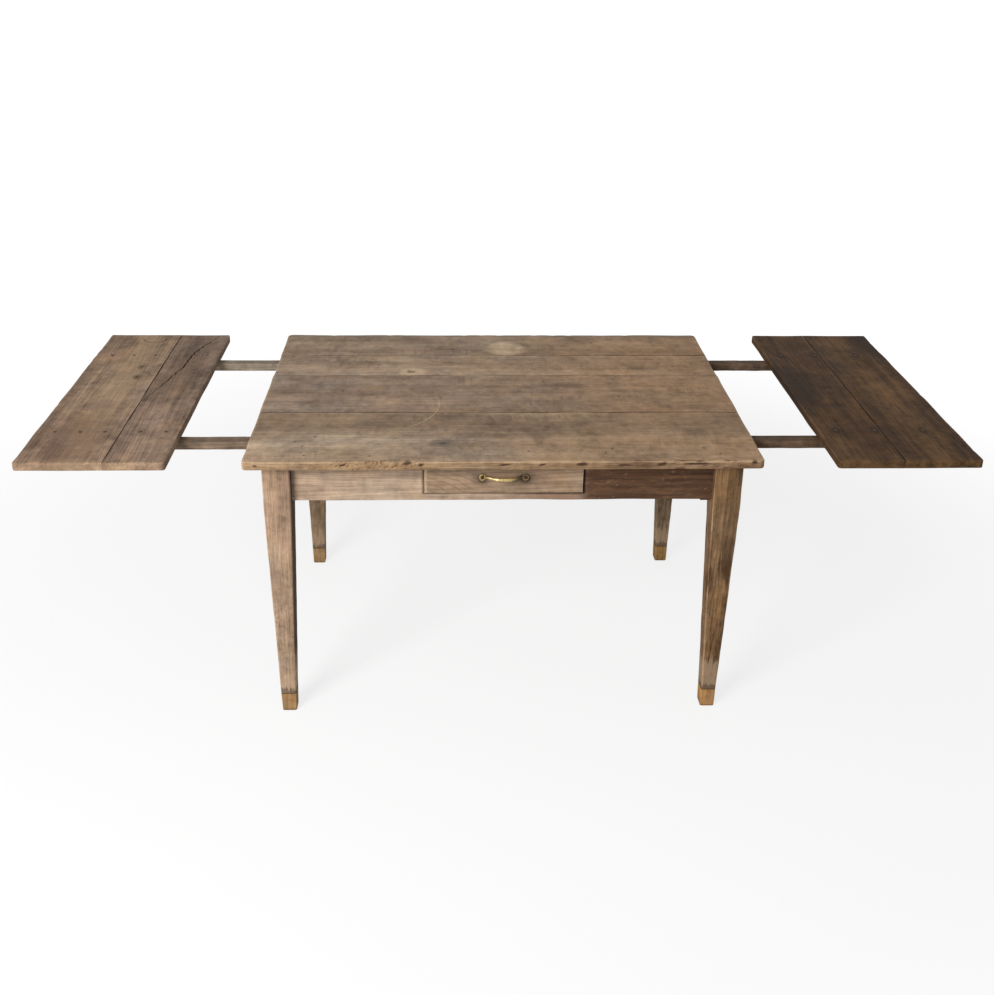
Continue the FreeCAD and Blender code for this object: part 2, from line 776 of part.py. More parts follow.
handle_screws = new_body("handle_screws", y="-Places.drawer_face_y", z=handle_z, several=True)
pad(
    circles(handle_screws, "shanks", "XZ", eye_centres, "Sizes.screw_diameter", "-Sizes.screw_bite"),
    "Sizes.screw_bite + Sizes.eye_thickness",
)
pad(
    circles(handle_screws, "domes", "XZ", eye_centres, "Sizes.dome_diameter", "Sizes.eye_thickness"),
    "Sizes.dome_height",
)


def on_dome(edge):
    """Whether an edge is the rim of a screw's head, away from the eye."""
    outermost = sizes.get("eye_thickness") + sizes.get("dome_height")
    return all(near(vertex.Y, -outermost) for vertex in edge.Vertexes)


round_edges(handle_screws, "domed", "Sizes.dome_height * Sizes.dome_share", on_dome)


# Screws: a flat head let in level with one face, and a shank that goes on into the next piece

def drill(body, name, centres, face, depth, sink=True, up=False):
    """Screw holes from the height face, with sinks for the heads unless sink is off."""
    deep = f"{depth} + Sizes.joint_clearance"
    holes = circles(body, f"{name}_holes", "XY", centres, clear_hole, face)
    pad(holes, deep, kind="Pocket", reverse=up)
    if sink:
        wide = "Sizes.screw_head_diameter + 2 * Sizes.joint_clearance"
        sinks = circles(body, f"{name}_sinks", "XY", centres, wide, face)
        pad(sinks, "Sizes.screw_head_depth + Sizes.joint_clearance", kind="Pocket", reverse=up)


def screw_group(body, centres, face, length, up=False):
    """A group of equal screws with their heads level with the height face."""
    shanks = circles(body, "shanks", "XY", centres, "Sizes.screw_diameter", face)
    pad(shanks, length, reverse=not up)
    heads = circles(body, "heads", "XY", centres, "Sizes.screw_head_diameter", face)
    pad(heads, "Sizes.screw_head_depth", reverse=not up)


# Battens under the top, which tie its boards and butt against both long aprons

BATTEN_SCREW_SHARES = (0.1, 0.45, 0.76, 0.93)

under_top_screws = []
for side, sign in LEFT_RIGHT:
    batten = new_body(
        f"{side}_cross_batten",
        x=f"{sign} * Places.batten_x",
        z="Places.top_underside - Sizes.batten_thickness",
    )
    block(
        batten,
        "bar",
        ("-Sizes.batten_width / 2", "-Places.long_apron_inner", "0"),
        ("Sizes.batten_width", "2 * Places.long_apron_inner", "Sizes.batten_thickness"),
    )
    along = [f"Places.long_apron_inner * (2 * {share} - 1)" for share in BATTEN_SCREW_SHARES]
    drill(batten, "screw", [("0", y) for y in along], "0", "Sizes.batten_thickness", up=True)
    under_top_screws += [(f"{sign} * Places.batten_x", y) for y in along]

batten_screws = new_body(
    "batten_screws", z="Places.top_underside - Sizes.batten_thickness", several=True
)
screw_group(
    batten_screws, under_top_screws, "0", "Sizes.batten_thickness + Sizes.screw_bite", up=True
)


# Rebated cleats: each runner slides between two of them, on the ledges at their feet

CLEAT_SECTION = [
    ("Places.runner_slot_width / 2 - Sizes.ledge_width", "-Places.cleat_depth"),
    ("Places.runner_slot_width / 2 + Sizes.cleat_width", "-Places.cleat_depth"),
    ("Places.runner_slot_width / 2 + Sizes.cleat_width", "0"),
    ("Places.runner_slot_width / 2", "0"),
    ("Places.runner_slot_width / 2", "-Places.runner_slot_height"),
    ("Places.runner_slot_width / 2 - Sizes.ledge_width", "-Places.runner_slot_height"),
]

cleat_screw_places = []
for side, sign in LEFT_RIGHT:
    for row, row_sign in FRONT_REAR:
        for edge_name, edge_sign in FRONT_REAR:
            cleat = new_body(
                f"{side}_{row}_slide_{edge_name}_cleat",
                x=f"{sign} * Places.cleat_x",
                y=f"{row_sign} * Places.runner_y",
                z="Places.top_underside",
                turn=0 if edge_sign > 0 else HALF_TURN,
            )
            section = outline(cleat, "section", "YZ", CLEAT_SECTION)
            pad(section, "Places.cleat_length", side="Symmetric")
            spread = "Places.cleat_length * Sizes.cleat_screw_share"
            offsets = [f"{end} * {spread}" for _, end in LEFT_RIGHT]
            holes = [(x, "Places.cleat_middle") for x in offsets]
            drill(cleat, "screw", holes, "-Places.cleat_depth", "Places.cleat_depth", up=True)
            across = f"{row_sign} * Places.runner_y + {edge_sign} * Places.cleat_middle"
            cleat_screw_places += [(f"{sign} * Places.cleat_x + {x}", across) for x in offsets]

cleat_screws = new_body(
    "cleat_screws", z="Places.top_underside - Places.cleat_depth", several=True
)
screw_group(
    cleat_screws, cleat_screw_places, "0", "Places.cleat_depth + Sizes.screw_bite", up=True
)

# Every board of the top is drilled for all of these screws: a hole that misses it cuts nothing
under_top_screws += cleat_screw_places
for board, start_y in top_boards:
    holes = [(x, f"{y} - ({start_y})") for x, y in under_top_screws]
    drill(board, "under", holes, "0", "Sizes.screw_bite", sink=False, up=True)


# Leaves: two boards each on two runners, level with the top and drawn out at rest

# Where the screws stand on each runner, along the leaf's width from its inner edge
LEFT_SCREW_SHARES = (0.1, 0.275, 0.52, 0.69, 0.865)
RIGHT_SCREW_SHARES = (0.13, 0.41, 0.76)


def make_leaf(side, sign, screw_shares):
    """One leaf. Its own frame has the inner edge at X 0 and the table towards -X."""
    turn = 0 if sign > 0 else HALF_TURN
    seam = f"Sizes.leaf_width * Sizes.{side}_seam_share"
    screws = [
        (f"Sizes.leaf_width * {share}", f"{row_sign} * Places.runner_y")
        for share in screw_shares
        for _, row_sign in FRONT_REAR
    ]
    boards = (
        ("inner", "0", seam, False, True),
        ("outer", seam, f"Sizes.leaf_width - {seam}", True, False),
    )
    for name, start, width, has_tongue, has_groove in boards:
        board = new_body(
            f"{side}_leaf_{name}_board",
            x=f"{sign} * (Places.leaf_x + {start})",
            z="Places.leaf_z",
            turn=turn,
        )
        section = board_section(width, has_tongue, has_groove)
        pad(outline(board, "section", "XZ", section), "Sizes.top_depth", side="Symmetric")
        wear_board(board, not has_tongue, not has_groove, "x", "y", "Sizes.leaf_corner_radius")
        holes = [(f"{x} - {start}", y) for x, y in screws]
        drill(board, "screw", holes, "Sizes.top_thickness", "Sizes.top_thickness")

    for row, row_sign in FRONT_REAR:
        runner = new_body(
            f"{side}_leaf_{row}_runner",
            x=f"{sign} * Places.leaf_x",
            y=f"{row_sign} * Places.runner_y",
            z="Places.leaf_z",
            turn=turn,
        )
        block(
            runner,
            "bar",
            ("-Places.runner_reach", "-Sizes.runner_width / 2", "-Sizes.runner_thickness"),
            (
                "Places.runner_reach + Sizes.leaf_width - Sizes.runner_stop_short",
                "Sizes.runner_width",
                "Sizes.runner_thickness",
            ),
        )
        tip = -places.get("runner_reach")
        round_edges(
            runner,
            "tip",
            "Sizes.runner_tip_radius",
            lambda edge: long_edge(edge) and all(near(vertex.X, tip) for vertex in edge.Vertexes),
        )
        holes = [(f"Sizes.leaf_width * {share}", "0") for share in screw_shares]
        drill(runner, "screw", holes, "0", "Sizes.screw_bite", sink=False)

    group = new_body(
        f"{side}_leaf_screws",
        x=f"{sign} * Places.leaf_x",
        z="Places.leaf_z",
        turn=turn,
        several=True,
    )
    screw_group(group, screws, "Sizes.top_thickness", "Sizes.top_thickness + Sizes.screw_bite")


make_leaf("left", -1, LEFT_SCREW_SHARES)
make_leaf("right", 1, RIGHT_SCREW_SHARES)


# Check every object and every cut, then write one file for each sub-part

doc.recompute()
for item in doc.Objects:
    if "Invalid" in item.State or "Error" in item.State:
        raise RuntimeError(f"{item.Name} did not build: {item.State}")
    is_cut = "Subtractive" in item.TypeId or item.TypeId == "PartDesign::Pocket"
    if is_cut and not item.Shape.Volume < item.BaseFeature.Shape.Volume:
        raise RuntimeError(f"{item.Name} cuts nothing away")
for body in sub_parts:
    if body.Shape.isNull() or not body.Shape.isValid() or not body.Shape.Solids:
        raise RuntimeError(f"{body.Label} is not a valid solid")

os.makedirs("parts", exist_ok=True)
for body in sub_parts:
    body.Shape.exportStep(f"parts/{body.Label}.step")
print(f"{len(sub_parts)} sub-parts written")
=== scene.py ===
# %% [markdown]
# # A worn farmhouse table
#
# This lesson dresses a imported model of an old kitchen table: a plank top on four tapered
# legs, a drawer with a brass handle, and a leaf at each end that draws out on two wooden
# runners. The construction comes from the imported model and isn't changed. What this file
# adds is age: arrises rubbed round, boards that have cupped, a long crack, knots, stains
# and old brass. Everything is in metres, X along the table, -Y the side with the drawer, Z up.

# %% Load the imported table
import json
import math

import bpy
import numpy as np
from mathutils import Matrix, Vector


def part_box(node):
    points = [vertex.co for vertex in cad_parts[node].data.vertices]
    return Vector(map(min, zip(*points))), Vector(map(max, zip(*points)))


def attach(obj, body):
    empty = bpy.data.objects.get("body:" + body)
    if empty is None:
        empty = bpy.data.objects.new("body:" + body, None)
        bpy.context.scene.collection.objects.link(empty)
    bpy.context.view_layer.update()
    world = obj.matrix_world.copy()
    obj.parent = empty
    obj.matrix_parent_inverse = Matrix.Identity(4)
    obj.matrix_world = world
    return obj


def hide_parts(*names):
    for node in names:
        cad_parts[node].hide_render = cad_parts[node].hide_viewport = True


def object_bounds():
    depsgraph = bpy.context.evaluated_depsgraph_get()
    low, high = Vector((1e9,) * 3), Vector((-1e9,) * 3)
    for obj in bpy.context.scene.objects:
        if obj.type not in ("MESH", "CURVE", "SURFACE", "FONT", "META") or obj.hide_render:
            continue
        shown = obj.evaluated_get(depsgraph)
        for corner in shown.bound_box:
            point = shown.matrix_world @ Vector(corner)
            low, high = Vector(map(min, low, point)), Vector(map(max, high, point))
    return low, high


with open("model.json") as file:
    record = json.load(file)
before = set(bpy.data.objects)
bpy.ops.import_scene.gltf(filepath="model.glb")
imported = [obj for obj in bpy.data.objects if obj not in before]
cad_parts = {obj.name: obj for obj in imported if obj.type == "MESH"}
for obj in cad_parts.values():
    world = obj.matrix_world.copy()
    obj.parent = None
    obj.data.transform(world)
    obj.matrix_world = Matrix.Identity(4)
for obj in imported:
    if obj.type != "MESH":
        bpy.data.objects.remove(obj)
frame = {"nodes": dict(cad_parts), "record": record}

MM = 0.001
LEFT_RIGHT = (("left", -1), ("right", 1))
nodes = frame["nodes"]
cad_box = [list(corner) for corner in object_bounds()]
print("the table spans", np.round(cad_box, 3).tolist(), "in", len(nodes), "nodes")

# %% [markdown]
# ## The camera
#
# The photograph was taken from a little above eye height, a step back from the drawer. A
# camera is easiest to trust when its three axes are written out: a level right-hand axis
# turned by the yaw, a forward axis tipped down by the pitch, and both rolled together.
# The lens comes from the focal length in pixels, because that is how a view is measured
# from a photograph. A small shift keeps the legs more upright than tipping alone would.

# %% Place the camera
IMAGE_LONG_SIDE = 995
SENSOR = 36
FOCAL_PIXELS = 1183
CAMERA_PLACE = Vector((-0.133, -3.039, 2.015))
CAMERA_PITCH = math.radians(20.4)
CAMERA_YAW = math.radians(2.4)
CAMERA_ROLL = math.radians(0.89)
CAMERA_SHIFT = -0.15

level_right = Vector((math.cos(CAMERA_YAW), -math.sin(CAMERA_YAW), 0))
level_ahead = Vector((math.sin(CAMERA_YAW), math.cos(CAMERA_YAW), 0))
ahead = level_ahead * math.cos(CAMERA_PITCH) - Vector((0, 0, math.sin(CAMERA_PITCH)))
upward = level_right.cross(ahead)
right = level_right * math.cos(CAMERA_ROLL) + upward * math.sin(CAMERA_ROLL)
upward = right.cross(ahead)

camera = bpy.data.objects.new("camera", bpy.data.cameras.new("camera"))
camera.data.sensor_width = SENSOR
camera.data.lens = SENSOR * FOCAL_PIXELS / IMAGE_LONG_SIDE
camera.data.shift_y = CAMERA_SHIFT
camera.data.dof.use_dof = False
turn = Matrix((right, upward, -ahead)).transposed().to_4x4()
camera.matrix_world = Matrix.Translation(CAMERA_PLACE) @ turn
bpy.context.scene.collection.objects.link(camera)
bpy.context.scene.camera = camera
print(f"a {camera.data.lens:.1f} mm lens, tipped down {math.degrees(CAMERA_PITCH):.1f} degrees")

# %% [markdown]
# ## Shader maths as Python
#
# Wood needs long sums of noises, and a sum is easier to read as an expression than as a
# chain of boxes. Wire wraps one output of a node. Arithmetic on a Wire adds Math nodes,
# and node() adds any other kind: its settings first, then the value or link of each input.

# %% One class for shader maths
class Wire:
    """A value in a node tree. Arithmetic on it adds Math nodes to the tree."""

    def __init__(self, tree, socket=None):
        self.tree = tree
        self.socket = socket

    def node(self, kind, inputs=None, output=0, **settings):
        """Add a node of this kind and return one of its outputs."""
        made = self.tree.nodes.new(kind)
        for name, value in settings.items():
            setattr(made, name, value)
        for key, value in (inputs or {}).items():
            if isinstance(value, Wire):
                self.tree.links.new(value.socket, made.inputs[key])
            else:
                made.inputs[key].default_value = value
        return Wire(self.tree, made.outputs[output])

    def math(self, operation, *others):
        return self.node("ShaderNodeMath", dict(enumerate((self, *others))), operation=operation)

    def __add__(self, other):
        return self.math("ADD", other)

    def __mul__(self, other):
        return self.math("MULTIPLY", other)

    def __sub__(self, other):
        return self.math("SUBTRACT", other)

    def __rsub__(self, other):
        return self.math("MULTIPLY_ADD", -1, other)

    def __truediv__(self, other):
        return self.math("DIVIDE", other)

    __radd__ = __add__
    __rmul__ = __mul__

    def least(self, other):
        return self.math("MINIMUM", other)

    def most(self, other):
        return self.math("MAXIMUM", other)

    def apart(self, other):
        """The length of the plane vector (self, other)."""
        return (self * self + other * other).math("SQRT")

    def step(self, low, high):
        """A smooth step from 0 at low to 1 at high. With low above high it falls instead."""
        inputs = {"Value": self, "From Min": low, "From Max": high}
        return self.node("ShaderNodeMapRange", inputs, interpolation_type="SMOOTHSTEP")

    def blend(self, first, second):
        """The colour first where this mask is 0 and second where it is 1."""
        inputs = {0: self, 6: first, 7: second}
        return self.node("ShaderNodeMix", inputs, output=2, data_type="RGBA")

    def shade(self, colour):
        """A colour made lighter or darker by this value."""
        inputs = {0: colour if isinstance(colour, Wire) else colour[:3], "Scale": self}
        return self.node("ShaderNodeVectorMath", inputs, operation="SCALE")


def paint(red, green, blue):
    """A colour as a screen shows it, each part from 0 to 255, as linear light."""
    share = np.array((red, green, blue)) / 255
    linear = np.where(share <= 0.04045, share / 12.92, ((share + 0.055) / 1.055) ** 2.4)
    return (*linear.tolist(), 1.0)


# %% [markdown]
# ## Light and floor
#
# The photograph is lit by one soft window on the left, in front of the table: faces turned
# to the right fall dark. A large area lamp stands for the window and an even sky fills the
# shadows. Both are set so that a colour renders about as it is written. The backdrop is
# white only for rays that come straight from the camera or off something shiny, so it
# throws no extra light on the wood.

# %% Sky and window
SKY_LIGHT = 0.50
WINDOW_PLACE = Vector((-2.6, -3.5, 2.7))
WINDOW_SIZE = 1.8
WINDOW_POWER = 230
TABLE_MIDDLE = Vector((0, 0, 0.6))

world = bpy.data.worlds.new("studio")
bpy.context.scene.world = world
world.use_nodes = True
sky = Wire(world.node_tree)
from_camera = sky.node("ShaderNodeLightPath", output="Is Camera Ray")
from_gloss = sky.node("ShaderNodeLightPath", output="Is Glossy Ray")
strength = from_camera.most(from_gloss) * (1 - SKY_LIGHT) + SKY_LIGHT
background = world.node_tree.nodes["Background"]
background.inputs["Color"].default_value = (1, 1, 1, 1)
world.node_tree.links.new(strength.socket, background.inputs["Strength"])

lamp = bpy.data.lights.new("window", "AREA")
lamp.shape = "SQUARE"
lamp.size = WINDOW_SIZE
lamp.energy = WINDOW_POWER
window = bpy.data.objects.new("window", lamp)
window.location = WINDOW_PLACE
window.rotation_euler = (TABLE_MIDDLE - WINDOW_PLACE).to_track_quat("-Z", "Y").to_euler()
bpy.context.scene.collection.objects.link(window)
bpy.context.scene.view_settings.view_transform = "Standard"
print(f"the window is {(TABLE_MIDDLE - WINDOW_PLACE).length:.1f} m from the middle of the table")

# %% The floor: it keeps the shadow near the table and fades to the white of the sky
FLOOR_REACH = 30
FLOOR_TONES = (paint(205, 205, 205), paint(210, 210, 210))
FLOOR_GLOW = 0.72
GLOW_STRENGTH = 1.08
FADE_NEAR = 1.3
FADE_FAR = 3.4

floor_mesh = bpy.data.meshes.new("floor")
corners = FLOOR_REACH * np.array([(-1, -1, 0), (1, -1, 0), (1, 1, 0), (-1, 1, 0)])
floor_mesh.from_pydata(corners, [], [(0, 1, 2, 3)])
floor = bpy.data.objects.new("floor", floor_mesh)
bpy.context.scene.collection.objects.link(floor)

floor_finish = bpy.data.materials.new("floor_paper")
floor_finish.use_nodes = True
tree = floor_finish.node_tree
tree.nodes.remove(tree.nodes["Principled BSDF"])
paper = Wire(tree)
grain = paper.node("ShaderNodeTexNoise", {"Scale": 3.0, "Detail": 4.0})
diffuse = paper.node("ShaderNodeBsdfDiffuse", {"Color": grain.blend(*FLOOR_TONES)})
glow = paper.node("ShaderNodeEmission", {"Color": (1, 1, 1, 1), "Strength": GLOW_STRENGTH})
place = paper.node("ShaderNodeTexCoord", output="Object")
distance = paper.node("ShaderNodeVectorMath", {0: place}, output="Value", operation="LENGTH")
share = distance.step(FADE_NEAR, FADE_FAR) * (1 - FLOOR_GLOW) + FLOOR_GLOW
seen = paper.node("ShaderNodeLightPath", output="Is Camera Ray")
mixed = paper.node("ShaderNodeMixShader", {0: seen * share, 1: diffuse, 2: glow})
tree.links.new(mixed.socket, tree.nodes["Material Output"].inputs["Surface"])
floor_mesh.materials.append(floor_finish)
print(f"the floor fades to white from {FADE_NEAR} to {FADE_FAR} m out")

# %% [markdown]
# ## Worn edges as geometry
#
# A planed board is a box with sharp arrises. A century of hands rounds them, unevenly.
# That could be a bevel, but a bevel has one width. Here each long piece is a section
# carried along a path, with the radius of every corner a function of the place along it,
# so an arris can be sharp at one end of a board and worn away at the other. The sections
# of all stations are worked out at once, as arrays.

# %% Smooth unevenness, and a section with rounded corners
WAVE_COUNT = 7
ARC_STEPS = 6
# The largest part of a side that one rounded corner may take
LARGEST_CUT = 0.48


def waves(first, second, length, seed):
    """Smooth unevenness, mostly between -1 and 1.

    It is a sum of sines of first * cos(turn) + second * sin(turn). Each sine has its own turn,
    its own phase, and a wave length near length, all drawn from the seed.
    """
    draw = np.random.default_rng(seed)
    turns = draw.uniform(0, 2 * np.pi, WAVE_COUNT)
    paces = 2 * np.pi / length * draw.uniform(0.6, 1.8, WAVE_COUNT)
    phases = draw.uniform(0, 2 * np.pi, WAVE_COUNT)
    travel = first[..., None] * np.cos(turns) + second[..., None] * np.sin(turns)
    return np.sin(travel * paces + phases).sum(axis=-1) / math.sqrt(WAVE_COUNT)


def drift(first, length, seed, second=None):
    """The same unevenness, from 0 to 1."""
    other = np.zeros_like(first) if second is None else second
    return np.clip(0.5 + 0.5 * waves(first, other, length, seed), 0, 1)


def rounded_section(corners, radii, flats, rubs):
    """Points round a closed section with rounded corners, for every station at once.

    corners is indexed by station, corner and coordinate, and radii by station and corner. A
    corner C is cut at A and B, one radius away from it, and between them the curve is
    (1-t)^2 A + 2t(1-t) C + t^2 B. flats says how many points go on the straight that
    follows each corner. The second result is the wear: a sine of t over each arc, times that
    corner's rubs, and 0 on the straights.
    """
    to_last = np.roll(corners, 1, axis=1) - corners
    to_next = np.roll(corners, -1, axis=1) - corners
    last_reach = np.linalg.norm(to_last, axis=2, keepdims=True)
    next_reach = np.linalg.norm(to_next, axis=2, keepdims=True)
    cut = np.minimum(radii[..., None], LARGEST_CUT * np.minimum(last_reach, next_reach))
    start = corners + to_last / last_reach * cut
    end = corners + to_next / next_reach * cut
    t = np.linspace(0, 1, ARC_STEPS)[:, None]
    points = []
    wear = []
    for index, (flat, rub) in enumerate(zip(flats, rubs)):
        first, corner, last = (part[:, index, None] for part in (start, corners, end))
        points.append((1 - t) ** 2 * first + 2 * t * (1 - t) * corner + t**2 * last)
        wear.append(rub * np.sin(np.pi * t[:, 0]))
        share = np.linspace(0, 1, flat + 2)[1:-1, None]
        following = start[:, (index + 1) % len(flats), None]
        points.append((1 - share) * last + share * following)
        wear.append(np.zeros(flat))
    return np.concatenate(points, axis=1), np.concatenate(wear)


def stations(low, high, spacing, end_reach=22 * MM, end_count=13):
    """Places along a piece: close together in both ends, then evenly spaced.

    The places in an end are end_reach times the squares of even steps from 0 to 1.
    """
    end = end_reach * np.linspace(0, 1, end_count) ** 2
    middle = np.linspace(low + end_reach, high - end_reach, int((high - low) / spacing))
    return np.concatenate([low + end, middle[1:-1], high - end[::-1]])


def quarter_round(distance, radius):
    """How far a rounded edge lies inside the sharp one at a distance from its end."""
    rest = radius - np.clip(distance, 0, radius)
    return radius - np.sqrt(np.maximum(radius**2 - rest**2, 0))


# %% Where a long piece lies: a place, and the directions of its grain, width and thickness
GRAIN_X = np.array([(1, 0, 0), (0, 1, 0), (0, 0, 1)])
GRAIN_Y = np.array([(0, 1, 0), (1, 0, 0), (0, 0, 1)])
GRAIN_Z = np.array([(0, 0, 1), (1, 0, 0), (0, 1, 0)])


def lay_out(length, across, up, origin, axes):
    """Points at origin + length * axes[0] + across * axes[1] + up * axes[2]."""
    return np.array(origin) + np.stack([length, across, up], axis=-1) @ axes


# %% From rings to a closed mesh
SHARP_ANGLE = math.radians(50)


def ring_volume(rings):
    """Six times the volume inside the rings, by the divergence theorem; its sign is their turn."""
    here = rings[:-1]
    across = np.roll(rings, -1, axis=1)[:-1]
    beyond = rings[1:]
    return float(np.einsum("spc,spc->", np.cross(across - here, beyond - here), here))


def skin(name, rings, wear=None, looped=False):
    """One closed object from rings indexed by station, point and coordinate.

    Neighbouring rings are joined by four-sided faces. The ends are closed by one flat face
    each, or joined to one another where looped. wear is kept as the attribute arris.
    """
    if ring_volume(rings - rings.mean(axis=(0, 1))) < 0:
        rings = rings[::-1]
        wear = None if wear is None else wear[::-1]
    count, around = rings.shape[:2]
    index = np.arange(count * around).reshape(count, around)
    following = np.roll(index, -1, axis=0) if looped else index[1:]
    here = index if looped else index[:-1]
    turned = [np.roll(part, -1, axis=1) for part in (here, following)]
    faces = np.stack([here, turned[0], turned[1], following], axis=-1).reshape(-1, 4).tolist()
    if not looped:
        faces += [index[0, ::-1].tolist(), index[-1].tolist()]
    mesh = bpy.data.meshes.new(name)
    mesh.from_pydata(rings.reshape(-1, 3), [], faces)
    if wear is not None:
        arris = mesh.attributes.new("arris", "FLOAT", "POINT")
        arris.data.foreach_set("value", np.ascontiguousarray(wear, np.float32).ravel())
    mesh.shade_smooth()
    mesh.set_sharp_from_angle(angle=SHARP_ANGLE)
    piece = bpy.data.objects.new(name, mesh)
    bpy.context.scene.collection.objects.link(piece)
    print(f"{name}: {count} rings of {around} points")
    return piece


pieces = {}


def dress(piece, node, body):
    """Let a piece stand for a CAD node and move with its body; its record's slot is only looked up.
    """
    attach(piece, body)
    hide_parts(node)
    subparts = frame["record"]["subparts"]
    next(part["material_slot"] for part in subparts if part["node"] == node)
    pieces[node] = piece


# %% [markdown]
# ## Boards
#
# The four boards of the top and the four of the leaves are the same thing: a section with a
# tongue or a groove or a worn open edge at each side, carried along the board. Each is a
# little hollow across its width, its faces wave, and its ends are rounded where hands
# and chairs have rubbed them. A crack is a notch in the section whose place, width and
# depth change along the board. The wear attribute is positive on the open arrises, which
# are rubbed pale, and negative along seams and cracks, which gather dirt.

# %% Sizes that all the boards share
SEAM_GAP = 0.5 * MM
TONGUE_THICKNESS = 7 * MM
TONGUE_DEPTH = 8 * MM
GROOVE_ROOM = 0.2 * MM
LEAST_ARRIS = 0.4 * MM
SEAM_ARRIS = 2.2 * MM
OPEN_ARRIS = 5.5 * MM
UNDER_ARRIS = 3.5 * MM
END_ARRIS = 5 * MM
CHIP = 2.5 * MM
FACE_HOLLOW = 0.5 * MM
FACE_WAVE = 0.45 * MM
FACE_RIPPLE = 0.15 * MM
EDGE_WAVE = 1.3 * MM
BOARD_SPACING = 5 * MM
EVEN = (1, 1)
# How far along a board one wave of each kind of unevenness runs
CHIP_RUN = 0.07
FACE_RUN = 0.16
END_EDGE_RUN = 0.18
END_RUN = 0.2
ARRIS_RUN = 0.22
EDGE_RUN = 0.4
RIPPLE_RUN = 0.022
RIPPLE_STRETCH = 5
END_FADE = 20 * MM


def board_corners(width, thick, tongue, groove, crack):
    """Rows of (across, up, radius, rub, points after it) round the section of a board."""
    low = (thick - TONGUE_THICKNESS) / 2
    high = (thick + TONGUE_THICKNESS) / 2
    groove_end = width - TONGUE_DEPTH - GROOVE_ROOM
    rows = [(0, 0, LEAST_ARRIS if tongue else UNDER_ARRIS, 0 if tongue else 0.6, 12)]
    if groove:
        under, over = low - GROOVE_ROOM, high + GROOVE_ROOM
        cut = [(width, 0), (width, under), (groove_end, under), (groove_end, over), (width, over)]
        rows += [(*corner, LEAST_ARRIS, 0, 2) for corner in cut]
        rows.append((width, thick, SEAM_ARRIS, -1, 44))
    else:
        rows += [(width, 0, UNDER_ARRIS, 0.6, 2), (width, thick, OPEN_ARRIS, 1, 44)]
    if crack:
        middle, half, depth = crack
        rows[-1] = (*rows[-1][:4], 22)
        rows += [
            (middle + half, thick, LEAST_ARRIS, -1, 1),
            (middle, thick - depth, LEAST_ARRIS, -1, 1),
            (middle - half, thick, LEAST_ARRIS, -1, 22),
        ]
    rows.append((0, thick, SEAM_ARRIS if tongue else OPEN_ARRIS, -1 if tongue else 1, 2))
    if tongue:
        tip = -TONGUE_DEPTH
        cut = [(0, high), (tip, high), (tip, low), (0, low)]
        rows += [(*corner, LEAST_ARRIS, 0, 2) for corner in cut]
    return rows


# %% One board
def board_radii(rows, along, ends, seams, seed):
    """The radius of every corner of the section, at every station.

    Each is its row's radius times 0.45 to 1.35. On an open arris the sixth power of a
    quicker unevenness adds chips, and in a seam the radius follows the wear of its ends.
    """
    radii = []
    for index, (across, _, radius, rub, _) in enumerate(rows):
        uneven = radius * (0.45 + 0.9 * drift(along, ARRIS_RUN, seed + 31 * index))
        if rub == 1:
            uneven = uneven + CHIP * drift(along, CHIP_RUN, seed + 43 * index) ** 6
        elif rub == -1 and radius == SEAM_ARRIS:
            uneven = uneven * np.interp(along, ends, seams[0 if np.all(across == 0) else 1])
        radii.append(uneven)
    return np.stack(radii, axis=1)


def worn_board(
    name, ends, size, origin, axes, seed, tongue, groove, corner, crack=None, seams=(EVEN, EVEN)
):
    """A board from ends[0] to ends[1] along its grain, of size (width, thickness).

    seams says how worn the near and far seams are at both ends of the board. Every face is
    moved inwards only, so the board stays inside the planed one: the upper face by a shallow
    hollow, a parabola of the place across, and by waves; the open edges by waves and chips.
    """
    width, thick = size
    along = stations(*ends, BOARD_SPACING)
    rows = board_corners(width, thick, tongue, groove, crack(along) if crack else None)
    ones = np.ones_like(along)
    corners = np.stack([np.stack([a * ones, b * ones], axis=-1) for a, b, *_ in rows], axis=1)
    radii = board_radii(rows, along, ends, seams, seed)
    flats, rubs = [row[4] for row in rows], [row[3] for row in rows]
    section, wear = rounded_section(corners, radii, flats, rubs)
    across, up = section[..., 0], section[..., 1]
    length = np.broadcast_to(along[:, None], across.shape)

    from_end = np.minimum(along - ends[0], ends[1] - along)
    end_radius = END_ARRIS * (0.6 + 0.8 * drift(along, END_RUN, seed + 5))
    end_inset = quarter_round(from_end, end_radius)[:, None]
    up_share = 2 * up / thick - 1
    up = thick / 2 + up_share * (thick / 2 - end_inset * np.where(up_share > 0, 1, 0.6))
    side_inset = quarter_round(from_end, corner)[:, None]
    side_inset = side_inset + EDGE_WAVE * drift(length, EDGE_RUN, seed + 7)
    share = across / width
    if not groove:
        across = across - np.clip(share, 0, 1) * side_inset
    if not tongue:
        across = across + np.clip(1 - share, 0, 1) * side_inset

    hollow = FACE_HOLLOW * (1 - (2 * share - 1) ** 2)
    swell = FACE_WAVE * drift(length, FACE_RUN, seed + 11, across)
    ripple = FACE_RIPPLE * drift(length / RIPPLE_STRETCH, RIPPLE_RUN, seed + 13, across)
    up = up - np.clip(up_share, 0, 1) * (hollow + swell + ripple)
    end_wave = EDGE_WAVE * drift(across, END_EDGE_RUN, seed + 17)
    end_wave = end_wave * np.exp(-from_end[:, None] / END_FADE)
    length = length + np.sign(np.mean(ends) - length) * end_wave

    at_end = np.exp(-from_end[:, None] / END_ARRIS) * np.abs(up_share)
    wear = np.where(at_end > np.abs(wear), at_end, wear)
    return skin(name, lay_out(length, across, up, origin, axes), wear)


# %% The four boards of the top
TOP_CORNER = 14 * MM
TOP_BOARDS = ("front", "centre", "inner", "rear")
